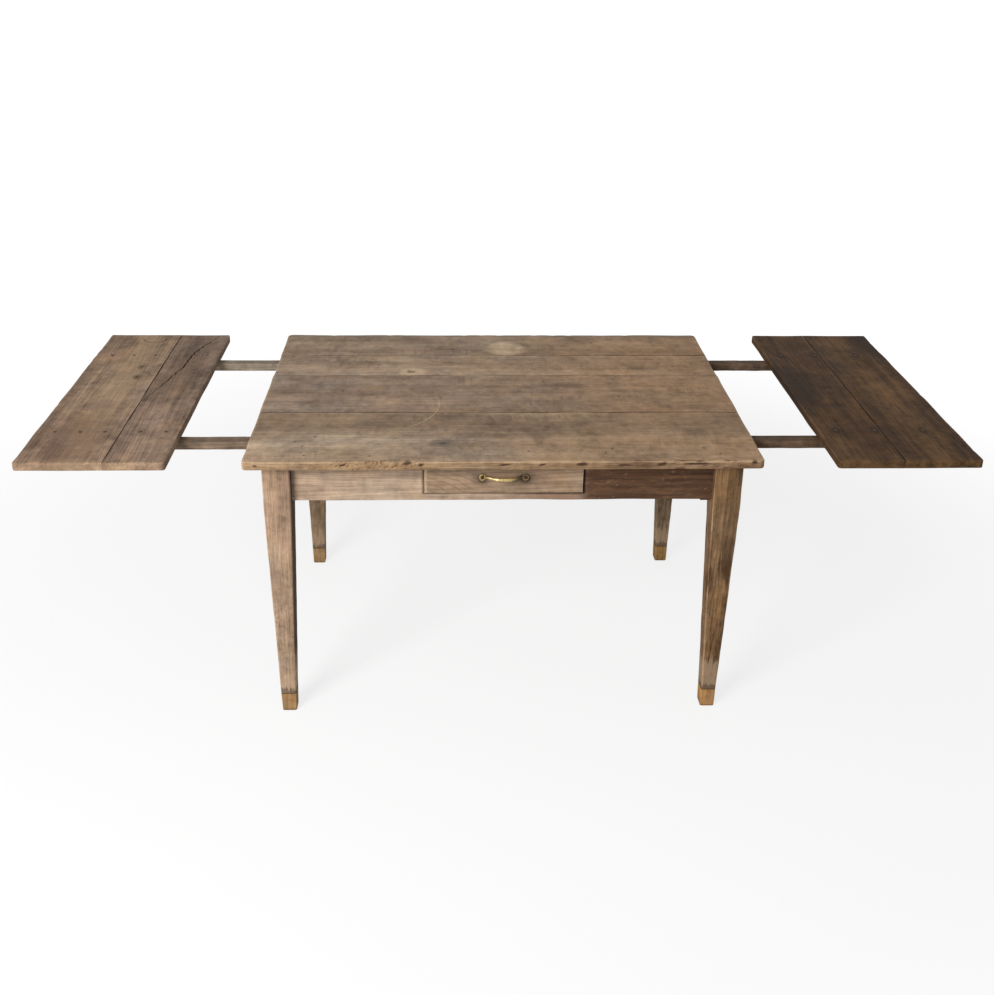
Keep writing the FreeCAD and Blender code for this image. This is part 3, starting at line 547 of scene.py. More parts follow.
# How worn the seam on the near side of each board is at its left and at its right end
SEAM_WEAR = {"front": EVEN, "centre": (1.0, 1.1), "inner": (0.5, 0.6), "rear": (0.25, 1.2)}

near_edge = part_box("top_board_front")[0].y
for number, board in enumerate(TOP_BOARDS):
    node = f"top_board_{board}"
    low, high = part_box(node)
    far_board = TOP_BOARDS[min(number + 1, len(TOP_BOARDS) - 1)]
    piece = worn_board(
        f"worn_{node}",
        (low.x, high.x),
        (high.y - near_edge, high.z - low.z),
        (0, near_edge, low.z),
        GRAIN_X,
        seed=100 * number + 3,
        tongue=number > 0,
        groove=number < len(TOP_BOARDS) - 1,
        corner=TOP_CORNER,
        seams=(SEAM_WEAR[board], SEAM_WEAR[far_board]),
    )
    dress(piece, node, "table")
    near_edge = high.y + SEAM_GAP

# %% The boards of the leaves, with the crack in the left one
LEAF_CORNER = 10 * MM
CRACK_ALONG = np.array([-80, -59, 5, 78, 135, 172, 224, 290, 348, 416, 470]) * MM
CRACK_ACROSS = np.array([143, 141, 124, 107, 97, 86, 84, 78, 62, 38, 26]) * MM
OPENING_ALONG = np.array([-80, 0, 130, 330, 400, 455]) * MM
OPENING = (0.0, 0.35, 0.7, 1.0, 0.6, 0.25)
CRACK_WIDTH = 5.6 * MM
CRACK_DEPTH = 9 * MM
CRACK_JAG = 1.3 * MM
HAIR = 0.12 * MM


def leaf_crack(along):
    """Where the crack lies across the board, its half width and its depth, along the board.

    Its line is straight between a few places, with a small jagged wave added. It opens
    from a hair at its front end to its full width behind the middle, and closes again.
    """
    jag = CRACK_JAG * waves(along, along * 0, 0.03, 41)
    opening = np.interp(along, OPENING_ALONG, OPENING)
    middle = np.interp(along, CRACK_ALONG, CRACK_ACROSS) + jag
    return middle, HAIR + CRACK_WIDTH / 2 * opening, HAIR + CRACK_DEPTH * opening


for side, sign in LEFT_RIGHT:
    inner_low, inner_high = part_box(f"{side}_leaf_inner_board")
    outer_low, outer_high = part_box(f"{side}_leaf_outer_board")
    inner_span = sorted((abs(inner_low.x), abs(inner_high.x)))
    outer_edge = max(abs(outer_low.x), abs(outer_high.x))
    spans = {"inner": inner_span, "outer": (inner_span[1] + SEAM_GAP, outer_edge)}
    for number, (board, (near, far)) in enumerate(spans.items()):
        node = f"{side}_leaf_{board}_board"
        piece = worn_board(
            f"worn_{node}",
            (inner_low.y, inner_high.y),
            (far - near, inner_high.z - inner_low.z),
            (sign * near, 0, inner_low.z),
            GRAIN_Y * (sign, 1, 1),
            seed=500 + 70 * number + 7 * sign,
            tongue=board == "outer",
            groove=board == "inner",
            corner=LEAF_CORNER,
            crack=leaf_crack if (side, board) == ("left", "inner") else None,
        )
        dress(piece, node, f"{side}_leaf")

# %% [markdown]
# ## Legs, foot tips, runners and aprons
#
# These are the same idea with a plain four-cornered section. A leg is square beside the aprons
# and tapers below them; its arrises are rubbed most near the floor, where feet and
# brooms reach them. The new tips carry the taper on. A runner is a bar whose free end is
# rounded in plan. An apron's upper edge drops where the drawer or a runner passes,
# and its lower edge, which hands never straightened, waves a little.

# %% One bar
BAR_WAVE = 0.5 * MM
BAR_RUN = 0.09
LOWER_WAVE = 1.8 * MM
LOWER_RUN = 0.26
BAR_ARRIS_RUN = 0.25
BAR_FLAT = 7
BAR_CORNERS = np.array([(-1, -1), (1, -1), (1, 1), (-1, 1)])


def worn_bar(name, along, low, high, radius, origin, axes, seed, lower_wave=0.0):
    """A bar between the corners low and high of its section, each (across, up) per station.

    Each corner's radius is the given one times 0.65 to 1.25. The section is drawn in towards
    its middle by waves of BAR_WAVE, and its lower side is raised by longer waves of lower_wave.
    """
    middle, half = (low + high) / 2, (high - low) / 2
    corners = middle[:, None] + BAR_CORNERS * half[:, None]
    corners[:, :2, 1] += lower_wave * drift(along, LOWER_RUN, seed + 3)[:, None]
    count = len(BAR_CORNERS)
    uneven = [0.65 + 0.6 * drift(along, BAR_ARRIS_RUN, seed + step) for step in range(count)]
    radii = np.stack([radius * part for part in uneven], axis=1)
    section, wear = rounded_section(corners, radii, [BAR_FLAT] * count, [1] * count)
    length = np.broadcast_to(along[:, None], section.shape[:2])
    dip = BAR_WAVE * drift(length, BAR_RUN, seed + 9, section.sum(axis=-1))[..., None]
    section = section - dip * (section - middle[:, None]) / half[:, None]
    points = lay_out(length, section[..., 0], section[..., 1], origin, axes)
    return skin(name, points, wear[None, :] * np.ones_like(length))


# %% The legs and their tips
CORNERS = ("front_left", "front_right", "rear_right", "rear_left")
FOOT_WIDTH = 38 * MM
TAPER_START = 0.612
LEG_ARRIS = 4.5 * MM
LEG_WEAR_HEIGHTS = (0.0, 0.06, 0.35, 0.62)
LEG_WEAR = (1.1, 1.25, 0.9, 0.6)
LEG_SPACING = 6 * MM
LEG_END_REACH = 8 * MM
TIP_GAP = 0.4 * MM
END_ROUND = {"leg": 0.9 * MM, "foot_tip": 2.5 * MM}

leg_low, leg_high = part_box("front_left_leg")
leg_half = (leg_high.x - leg_low.x) / 2
leg_taper = (leg_half - FOOT_WIDTH / 2) / TAPER_START
for number, corner in enumerate(CORNERS):
    for part, end_round in END_ROUND.items():
        node = f"{corner}_{part}"
        low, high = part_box(node)
        middle = (low + high) / 2
        bottom = low.z + (TIP_GAP if part == "leg" else 0)
        along = stations(bottom, high.z, LEG_SPACING, end_reach=LEG_END_REACH, end_count=8)
        half = np.minimum(FOOT_WIDTH / 2 + leg_taper * along, leg_half)
        half = (half - quarter_round(along - bottom, end_round))[:, None] * np.ones(2)
        rubbed = LEG_ARRIS * np.interp(along, LEG_WEAR_HEIGHTS, LEG_WEAR)
        origin = (middle.x, middle.y, 0)
        seed = 900 + 13 * number
        piece = worn_bar(f"worn_{node}", along, -half, half, rubbed, origin, GRAIN_Z, seed)
        dress(piece, node, "table")

# %% The four runners
RUNNER_ARRIS = 2.5 * MM
RUNNER_TIP = 12 * MM
RUNNER_LEAD = 3 * MM
RUNNER_SPACING = 7 * MM

for side, sign in LEFT_RIGHT:
    for number, row in enumerate(("front", "rear")):
        node = f"{side}_leaf_{row}_runner"
        low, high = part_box(node)
        middle, size = (low + high) / 2, high - low
        along = stations(0, size.x, RUNNER_SPACING)
        flank = size.y / 2 - quarter_round(along, RUNNER_TIP)
        depth = size.z / 2 - quarter_round(along, RUNNER_LEAD)
        half = np.stack([flank, depth], axis=-1)
        origin = (low.x if sign > 0 else high.x, middle.y, middle.z)
        axes = GRAIN_X * (sign, 1, 1)
        arris = RUNNER_ARRIS * np.ones_like(along)
        seed = 1200 + 17 * number + 5 * sign
        piece = worn_bar(f"worn_{node}", along, -half, half, arris, origin, axes, seed)
        dress(piece, node, f"{side}_leaf")

# %% The aprons, with the drawer's opening and the runners' notches
APRON_ARRIS = 2.2 * MM
DRAWER_GAP = 2.4 * MM
LEFT_GAP = 1.3 * MM
NOTCH_GAP = 0.6 * MM
BUTT = 1 * MM
CUT = 0.01 * MM
APRON_STATIONS = 180
drawer_low, drawer_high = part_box("drawer_front")
rail_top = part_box("left_drawer_bearer")[1].z - DRAWER_GAP
drawer_opening = (drawer_low.x - LEFT_GAP, drawer_high.x + DRAWER_GAP, rail_top)
runner_boxes = [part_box(f"right_leaf_{row}_runner") for row in ("front", "rear")]
runner_notches = [
    (low.y - NOTCH_GAP, high.y + NOTCH_GAP, low.z - NOTCH_GAP) for low, high in runner_boxes
]
APRONS = {
    "front_apron": ("x", [drawer_opening]),
    "rear_apron": ("x", []),
    "left_end_apron": ("y", runner_notches),
    "right_end_apron": ("y", runner_notches),
}
post_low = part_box("rear_right_leg")[0]

for number, (node, (axis, notches)) in enumerate(APRONS.items()):
    low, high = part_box(node)
    reach = (post_low.x if axis == "x" else post_low.y) + BUTT
    edges = [place for start, end, _ in notches for place in (start, end)]
    doubled = [place + offset for place in edges for offset in (-CUT, CUT)]
    along = np.sort(np.concatenate([np.linspace(-reach, reach, APRON_STATIONS), doubled]))
    upper = np.full_like(along, high.z)
    for start, end, floor_height in notches:
        upper[(along > start) & (along < end)] = floor_height
    thin = (low.y, high.y) if axis == "x" else (low.x, high.x)
    ones = np.ones_like(along)
    piece = worn_bar(
        f"worn_{node}",
        along,
        np.stack([thin[0] * ones, low.z * ones], axis=-1),
        np.stack([thin[1] * ones, upper], axis=-1),
        APRON_ARRIS * ones,
        (0, 0, 0),
        GRAIN_X if axis == "x" else GRAIN_Y,
        1500 + 21 * number,
        lower_wave=LOWER_WAVE,
    )
    dress(piece, node, "table")

# %% [markdown]
# ## The brass handle
#
# The handle is a cast bow between two eyes. Its section is round and swells from a thin
# neck beside each eye to a thick grip. The path rises from the drawer front and levels out
# towards the middle, which half a cosine wave does well. Each eye is a flat ring with a
# rounded rim: a rounded profile turned about the screw.

# %% The bow
EYE_RADIUS = 9 * MM
EYE_HOLE = 3.9 * MM
EYE_THICKNESS = 3 * MM
GRIP_RADIUS = 6.2 * MM
NECK_RADIUS = 3.4 * MM
RISE_START = 1.6 * MM
RISE_SHARE = 0.78
NECK_SHARE = 0.05
SWELL_SHARE = 0.9
END_PINCH = 0.15
PINCH_SHARE = 0.03
GRIP_FLATTENING = 0.92

handle_low, handle_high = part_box("drawer_handle")
handle_middle = (handle_low + handle_high) / 2
span_half = (handle_high.x - handle_low.x) / 2 - EYE_RADIUS
face_y = handle_high.y
grip_out = face_y - handle_low.y - GRIP_RADIUS


def half_cosine(share):
    """A rise from 0 to 1 along half a cosine wave, level before and after it."""
    return 0.5 - 0.5 * np.cos(np.pi * np.clip(share, 0, 1))


def bow_rings(count=96, around=28):
    """Rings along the bow from eye to eye, square to its path.

    With t from -1 to 1 and 1 - |t| the share of the way in, the path's height and the radius
    both follow half_cosine of that share, and the radius is pinched at the very ends. Each
    ring is a circle pressed a little flat.
    """
    t = np.sin(np.linspace(-1, 1, count) * np.pi / 2)
    inside = 1 - np.abs(t)
    x = t * (span_half - EYE_RADIUS / 2)
    out = RISE_START + (grip_out - RISE_START) * half_cosine(inside / RISE_SHARE)
    swell = half_cosine((inside - NECK_SHARE) / SWELL_SHARE)
    radius = NECK_RADIUS + (GRIP_RADIUS - NECK_RADIUS) * swell
    radius = radius * (1 - END_PINCH * np.exp(-inside / PINCH_SHARE))
    slope = np.gradient(out, x)
    normal_x, normal_out = -slope / np.hypot(slope, 1), 1 / np.hypot(slope, 1)
    turns = np.linspace(0, 2 * np.pi, around, endpoint=False)
    side = radius[:, None] * np.cos(turns)
    tall = GRIP_FLATTENING * radius[:, None] * np.sin(turns)
    px = handle_middle.x + x[:, None] + normal_x[:, None] * side
    py = face_y - np.maximum(out[:, None] + normal_out[:, None] * side, CUT)
    return np.stack([px, py, handle_middle.z + tall], axis=-1)


dress(skin("brass_handle", bow_rings()), "drawer_handle", "drawer")


# %% The eyes
EYE_DISH = 0.8 * EYE_THICKNESS
EYE_ROUNDS = np.array((0.2, 0.6, 1.9, 0.9)) * MM


def eye_rings(x, count=40):
    """A ring about the screw at x: a rounded profile from the hole to the rim, turned."""
    corners = [(EYE_HOLE, 0), (EYE_RADIUS, 0), (EYE_RADIUS, EYE_THICKNESS), (EYE_HOLE, EYE_DISH)]
    radii = EYE_ROUNDS[None]
    profile = rounded_section(np.array([corners]), radii, [2, 1, 2, 1], [0] * 4)[0][0]
    turns = np.linspace(0, 2 * np.pi, count, endpoint=False)[:, None]
    px = x + profile[:, 0] * np.cos(turns)
    pz = handle_middle.z + profile[:, 0] * np.sin(turns)
    py = face_y - profile[:, 1] * np.ones_like(turns)
    return np.stack([px, py, pz], axis=-1)


for side, sign in LEFT_RIGHT:
    eye = skin(f"brass_{side}_eye", eye_rings(handle_middle.x + sign * span_half), looped=True)
    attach(eye, "drawer")
    pieces[f"{side}_eye"] = eye
print(f"the screws stand {2 * span_half / MM:.0f} mm apart and the grip {grip_out / MM:.0f} mm out")

# %% [markdown]
# ## Wood
#
# A tree grows in rings about its heart, and a board is a slice through them. So the
# finish is worked out in space: the distance from a line, the heart, bent by slow noise
# and divided by the ring width, gives each ring a number, and its fraction darkens
# towards the late wood. Long faces then show lines and arches and end grain shows arcs,
# with no seam at an arris. Noises stretched along the grain, from broad to fine, make the
# wood lighter and darker on top of that. Then come bloom, warm patches, nicks, rubbed
# arrises, dirt in the seams, and the marks of use.

# %% What makes one wood unlike another
LOOKS = {
    "light": paint(166, 143, 121),
    "deep": paint(120, 97, 78),
    "late": paint(96, 72, 53),
    "bloom": paint(134, 124, 114),
    "warm": paint(160, 128, 94),
    "blush": paint(140, 113, 98),
    "rubbed": paint(166, 139, 107),
    "dirt": paint(46, 33, 24),
    "ring": 6 * MM,
    "ring_share": 0.45,
    "bend": 14 * MM,
    "mottle": 1.0,
    "streak": 1.0,
    "bloom_share": 0.5,
    "warm_share": 0.4,
    "blush_share": 0.3,
    "nick_share": 0.5,
    "rubbed_share": 0.5,
}

# Noises from broad to fine: features a metre along and across the grain, detail, how much
# each changes the tone and the height, and which share of the look scales it
TEXTURES = (
    (4.0, 5.0, 4.0, 0.70, 0.2, "mottle"),
    (15.0, 15.0, 5.0, 1.10, 0.6, "mottle"),
    (52.0, 40.0, 4.0, 0.95, 0.7, "mottle"),
    (1.8, 50.0, 4.0, 0.75, 0.5, "streak"),
    (5.0, 160.0, 4.0, 0.95, 1.2, "streak"),
    (14.0, 480.0, 3.0, 0.80, 1.0, "streak"),
)

# Patches of another tone: features a metre along and across the grain, what is added to the
# seed, and the noise at which the patch starts and is full
PATCHES = {
    "bloom": (3.0, 5.5, 37.0, 0.46, 0.66),
    "warm": (5.5, 11.0, 53.0, 0.50, 0.68),
    "blush": (9.0, 14.0, 67.0, 0.48, 0.66),
}


# %% A finish while it is put together
class Finish:
    """A finish for wood or metal, while its colour, height and roughness are put together."""

    def __init__(self, name, grain="x"):
        self.material = bpy.data.materials.new(name)
        self.material.use_nodes = True
        self.tree = self.material.node_tree
        self.start = Wire(self.tree)
        self.place = self.start.node("ShaderNodeTexCoord", output="Object")
        self.x, self.y, self.z = (
            self.start.node("ShaderNodeSeparateXYZ", {0: self.place}, output=axis)
            for axis in range(3)
        )
        orders = {"x": (self.x, self.y, self.z), "y": (self.y, self.x, self.z)}
        orders["z"] = (self.z, self.x, self.y)
        self.along, self.across, self.through = orders[grain]

    def noise(self, along, across, seed, detail=2.0, rough=0.55):
        """Noise with so many features a metre along the grain and so many across it."""
        places = {0: self.along * along + seed, 1: self.across * across, 2: self.through * across}
        vector = self.start.node("ShaderNodeCombineXYZ", places)
        inputs = {"Vector": vector, "Scale": 1.0, "Detail": detail, "Roughness": rough}
        return self.start.node("ShaderNodeTexNoise", inputs)

    def speckle(self, scale, detail):
        """Noise that is the same in every direction, for metal."""
        inputs = {"Vector": self.place, "Scale": scale, "Detail": detail}
        return self.start.node("ShaderNodeTexNoise", inputs)

    def spot(self, first, second, centre, radii, ragged=0.0, seed=0.0, soft=0.5):
        """A mask of an ellipse: 1 inside, 0 outside, with its edge moved by noise."""
        distance = ((first - centre[0]) / radii[0]).apart((second - centre[1]) / radii[1])
        if ragged:
            pace = 1.1 / max(radii)
            distance = distance + (self.noise(pace, pace, seed, 4.0, 0.6) - 0.5) * ragged
        return distance.step(1 + soft / 2, 1 - soft / 2)

    def lay(self, mask, colour):
        """Lay a colour over the wood where the mask is 1."""
        self.colour = mask.blend(self.colour, colour)

    def lay_toned(self, mask, colour):
        """The same, with the light and dark of the wood left in the colour."""
        self.lay(mask, self.tone.shade(colour))

    def press(self, mask, depth):
        """Sink the surface where the mask is 1, by a depth in units of the bump's distance."""
        self.height = self.height - mask * depth

    def give(self, wearers, bump, **more):
        """Link what was worked out to the shader, and give the finish to its pieces."""
        shader = self.tree.nodes["Principled BSDF"]
        normal = self.start.node("ShaderNodeBump", {"Height": self.height, **bump})
        wires = {"Base Color": self.colour, "Roughness": self.rough, "Normal": normal, **more}
        for name, wire in wires.items():
            self.tree.links.new(wire.socket, shader.inputs[name])
        for wearer in wearers:
            wearer.data.materials.clear()
            wearer.data.materials.append(self.material)
        print(f"{self.material.name}: {len(self.tree.nodes)} shader nodes")
        return shader


# %% Growth rings
def late_wood(wood, heart, seed, look):
    """Masks of the rings: their dark late wood, and how clearly it shows.

    A point's ring number is its distance from the heart's line, bent by slow noise, over the
    ring width. The late wood rises slowly with the fraction of that number and falls fast.
    """
    slow = wood.noise(0.8, 2.6, seed) - 0.5
    quick = wood.noise(3.5, 30.0, seed + 3.1) - 0.5
    off_heart = wood.across - heart[0] + wood.along * heart[2] + slow * look["bend"] * 4
    off_face = wood.through - heart[1] + slow * look["bend"]
    ring = off_heart.apart(off_face) / look["ring"] + quick * 0.8
    phase = ring.math("FRACT")
    clarity = wood.noise(0.9, 11.0, seed + 7.7).step(0.32, 0.68) * 0.7 + 0.3
    return phase.step(0.15, 0.85) * phase.step(1.0, 0.86), clarity


# %% The wood itself, before the marks of one piece
def start_wood(name, grain, heart, seed, **changes):
    """Rings, tones, patches and nicks. heart is (across, through, tilt) of the ring centre."""
    look = {**LOOKS, **changes}
    wood = Finish(name, grain)
    late, clarity = late_wood(wood, heart, seed, look)
    tone = 1.0
    wood.height = late * -0.15
    for number, (along, across, detail, tone_share, height_share, kind) in enumerate(TEXTURES):
        texture = wood.noise(along, across, seed + 11.3 * number, detail, 0.6) - 0.5
        tone = texture * (tone_share * look[kind]) + tone
        wood.height = texture * height_share + wood.height

    band = wood.noise(0.8, 14.0, seed + 23.5, 3.0).step(0.36, 0.64)
    wood.colour = (band * 0.8).blend(look["light"], look["deep"])
    wood.lay(late * clarity * look["ring_share"], look["late"])
    fields = {}
    for kind, (along, across, offset, low, high) in PATCHES.items():
        fields[kind] = wood.noise(along, across, seed + offset, 4.0, 0.65)
        wood.lay(fields[kind].step(low, high) * look[f"{kind}_share"], look[kind])
    wood.colour = tone.shade(wood.colour)
    wood.look, wood.patch, wood.tone = look, fields["bloom"], tone

    nick = wood.noise(55.0, 190.0, seed + 41.0, 1.0).step(0.71, 0.77)
    dent = wood.noise(70.0, 130.0, seed + 47.0, 0.0).step(0.78, 0.84)
    nicks = nick.most(dent) * wood.patch.step(0.40, 0.62) * look["nick_share"]
    wood.lay(nicks, look["dirt"])
    wood.press(nicks, 1.2)
    return wood


# %% Where a piece is rubbed: from its own attribute, or from its box
def worn_arris(wood):
    """The attribute that the worn pieces carry: 1 along an arris, -1 along a seam."""
    return wood.start.node("ShaderNodeAttribute", output="Fac", attribute_name="arris")


def middle_of(node):
    """The middle of a CAD node's box."""
    low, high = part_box(node)
    return (low + high) / 2


def box_arris(node, reach):
    """For a CAD node: near an edge of its box, two of the three distances to its faces are small."""
    low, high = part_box(node)
    middle, half = (low + high) / 2, (high - low) / 2

    def arris(wood):
        away = [
            half[axis] - (place - middle[axis]).math("ABSOLUTE")
            for axis, place in enumerate((wood.x, wood.y, wood.z))
        ]
        least = away[0].least(away[1])
        most = away[0].most(away[1])
        second = least.most(most.least(away[2]))
        return second.step(reach, 0.0)

    return arris


# %% Wear, and handing the finish over
WOOD_BUMP = {"Distance": 1.3 * MM}
WOOD_GLOSS = 0.10
WOOD_ROUGH = 0.56


def wear_wood(wood, arris):
    """Rub the arrises pale and smooth, and leave dirt in the seams and cracks."""
    worn = arris(wood)
    rubbed = worn.step(0.1, 0.9) * (wood.patch * 0.9 + 0.3)
    wood.lay_toned(rubbed * wood.look["rubbed_share"], wood.look["rubbed"])
    wood.lay(worn.step(-0.05, -0.6) * 0.88, wood.look["dirt"])
    wood.rough = wood.patch * 0.25 + WOOD_ROUGH - rubbed * 0.12


def worn_wood(name, grain, heart, seed, arris=worn_arris, **changes):
    """A wood with its wear, ready for the marks of one piece."""
    wood = start_wood(name, grain, heart, seed, **changes)
    wear_wood(wood, arris)
    return wood


def finish_wood(wood, wearer):
    """Give a wood to its piece, with the faint gloss of bare wood."""
    shader = wood.give([wearer], WOOD_BUMP)
    shader.inputs["Specular IOR Level"].default_value = WOOD_GLOSS


# %% [markdown]
# ## The top
#
# Grey-brown from years of scrubbing, browner to the right, and tan along the front edge
# where hands have rubbed it. Its marks are placed one by one: two knots, a pale ring left by
# a hot pot, a thin curved scratch, and nail holes. Each is a mask laid on the wood, so first
# come the kinds of mark, as functions.

# %% Knots and holes
BLACK = paint(40, 28, 21)
INK = paint(60, 48, 40)


def lay_knot(wood, centre, radii, core, halo, seed=0.0):
    """A knot in the XY plane: a dark eye, fine rings round it and a field of another tone."""
    wobble = (wood.noise(42.0, 42.0, seed, 4.0, 0.7) - 0.5) * 1.1
    distance = ((wood.x - centre[0]) / radii[0]).apart((wood.y - centre[1]) / radii[1]) + wobble
    wood.lay(distance.step(1.3, 0.7) * 0.7, halo)
    rings = ((distance * 30.0).math("SINE") * 0.5 + 0.5) * distance.step(1.3, 0.5)
    wood.lay(rings * 0.3, core)
    eye = distance.step(0.5, 0.15)
    wood.lay(eye * 0.8, core)
    wood.press(eye, 0.5)


def lay_holes(wood, places, radius=1.6 * MM):
    """Small dark holes in the XY plane, all in one mask: the least distance to any of them."""
    nearest = None
    for x, y in places:
        distance = (wood.x - x).apart(wood.y - y)
        nearest = distance if nearest is None else nearest.least(distance)
    hole = nearest.step(radius * 1.25, radius * 0.75)
    wood.lay(nearest.step(radius * 4, radius) * 0.4, BLACK)
    wood.lay(hole, BLACK)
    wood.press(hole, 2.0)


# %% Plane marks and scratches
def lay_chatter(wood, seed, share, colour=paint(84, 74, 66)):
    """Fine dark lines across the grain in patches, as a dull plane or scraper leaves them."""
    lines = wood.noise(85.0, 9.0, seed, 3.0, 0.6).step(0.48, 0.66)
    field = wood.noise(3.6, 8.0, seed + 5.0, 3.0).step(0.54, 0.68)
    wood.lay(lines * field * share, colour)


def lay_scratches(wood, lean, seed, colour, share):
    """Thin straight scratches on the upper face, leaning from the grain by the slope lean."""
    turned = wood.across + wood.along * lean
    vector = wood.start.node("ShaderNodeCombineXYZ", {0: wood.along * 13.0 + seed, 1: turned * 300.0})
    inputs = {"Vector": vector, "Scale": 1.0, "Detail": 1.0}
    lines = wood.start.node("ShaderNodeTexNoise", inputs).step(0.68, 0.74)
    field = wood.noise(5.0, 9.0, seed + 8.0, 2.0).step(0.42, 0.6)
    upper_face = wood.z.step(cad_box[1][2] - 4 * MM, cad_box[1][2] - 2 * MM)
    wood.lay(lines * field * upper_face * share, colour)


# %% Where the marks of the top lie
front_y = cad_box[0][1]
# Places are (X, distance from the top's front edge)
NAIL_HOLES = {
    "front": ((0.50, 0.078), (0.535, 0.046), (0.27, 0.075), (0.25, 0.05), (-0.52, 0.12),
              (-0.50, 0.095), (-0.475, 0.15), (-0.49, 0.04), (-0.33, 0.035), (0.06, 0.06)),
    "centre": ((-0.43, 0.45), (-0.16, 0.40), (0.33, 0.41), (0.13, 0.52)),
    "inner": ((-0.38, 0.68), (0.48, 0.66), (0.52, 0.64)),
    "rear": ((-0.44, 0.86), (0.30, 0.84)),
}
# Dark spots on the front edge: X, Z, half length, half height, and how far they lean
EDGE_KNOTS = (
    (-0.603, 0.750, 0.006, 0.0022, 0.0), (-0.392, 0.752, 0.008, 0.0030, 1.4),
    (-0.238, 0.756, 0.011, 0.0035, 0.5), (-0.204, 0.752, 0.007, 0.0040, 0.0),
    (0.001, 0.752, 0.012, 0.0034, 2.0), (0.091, 0.752, 0.007, 0.0032, 2.0),
    (0.188, 0.753, 0.013, 0.0050, 0.6), (0.290, 0.750, 0.014, 0.0022, 0.0),
    (0.384, 0.753, 0.012, 0.0045, 0.8), (0.463, 0.753, 0.030, 0.0026, 0.0),
    (0.610, 0.756, 0.006, 0.0040, 0.0),
)
# Dull smudges: X, distance from the front edge, half length, half width, share
SMUDGES = {
    "front": ((-0.141, 0.268, 0.050, 0.022, 0.35), (-0.309, 0.239, 0.060, 0.030, 0.30),
              (0.089, 0.134, 0.014, 0.035, 0.40), (0.496, 0.171, 0.030, 0.022, 0.40)),
    "centre": ((-0.475, 0.373, 0.050, 0.040, 0.30), (-0.126, 0.530, 0.035, 0.026, 0.35),
               (0.205, 0.490, 0.034, 0.020, 0.45)),
    "inner": ((0.410, 0.620, 0.022, 0.010, 0.50), (-0.43, 0.66, 0.05, 0.03, 0.25)),
    "rear": ((-0.250, 0.860, 0.060, 0.030, 0.40), (0.270, 0.860, 0.050, 0.030, 0.40)),
}
SCRATCH_CENTRE = (-0.353, front_y + 0.360)
SCRATCH_SPAN = (front_y + 0.19, front_y + 0.40)
SCRATCH_RADIUS = 0.190
SCRATCH_WIDTH = 1.1 * MM
POT_CENTRE = (0.035, front_y + 0.785)
POT_RIM = 0.052
PALE_KNOT = (-0.245, front_y + 0.594)
GREY_KNOT = (-0.152, front_y + 0.109)
print(sum(map(len, NAIL_HOLES.values())), "nail holes and", len(EDGE_KNOTS), "knots on the edge")


# %% What all four boards went through
def lay_use(wood, number, board):
    """Plane marks, specks, hair lines, scratches, smudges and nail holes of one board."""
    lay_chatter(wood, 3.3 + number, 0.45)
    lay_chatter(wood, 31.0 + number, 0.35, paint(98, 82, 62))
    speck = wood.noise(80.0, 52.0, 35.0 + number, 2.0, 0.6).step(0.66, 0.73)
    field = wood.noise(4.0, 5.0, 44.0 + number, 3.0).step(0.44, 0.62)
    wood.lay(speck * field * 0.5, paint(80, 61, 49))
    hair = wood.noise(5.0, 170.0, 52.0 + number, 2.0).step(0.62, 0.70)
    wood.lay(hair * 0.28, paint(184, 162, 136))
    lay_scratches(wood, 0.30, 5.0 + number, paint(78, 60, 47), 0.5)
    lay_scratches(wood, -0.45, 17.0 + number, paint(196, 172, 142), 0.35)
    for x, depth, long, wide, share in SMUDGES[board]:
        smudge = wood.spot(wood.x, wood.y, (x, front_y + depth), (long, wide), 1.6, 90 * x, 1.2)
        wood.lay(smudge * share, paint(88, 71, 58))
    lay_holes(wood, [(x, front_y + depth) for x, depth in NAIL_HOLES[board]])


# %% The front board: a dark band, pale smears, and an edge that took the most knocks
def tint_front(wood):
    """A darker band behind the rubbed strip, and a tan front face with grime in it."""
    worn_band = wood.y + (wood.noise(2.0, 9.0, 27.0, 3.0) - 0.5) * 0.12 - front_y
    band = worn_band.step(0.12, 0.19) * worn_band.step(0.34, 0.28)
    wood.lay_toned(band * 0.62, paint(106, 85, 66))
    face = wood.y.step(front_y + 7 * MM, front_y + 2 * MM)
    wood.lay_toned(face * 0.6, wood.x.step(-0.1, 0.4).blend(paint(142, 113, 80), paint(112, 84, 61)))
    grime = wood.noise(16.0, 110.0, 19.0, 4.0, 0.7).step(0.45, 0.62)
    wood.lay(face * grime * 0.5, paint(90, 66, 46))


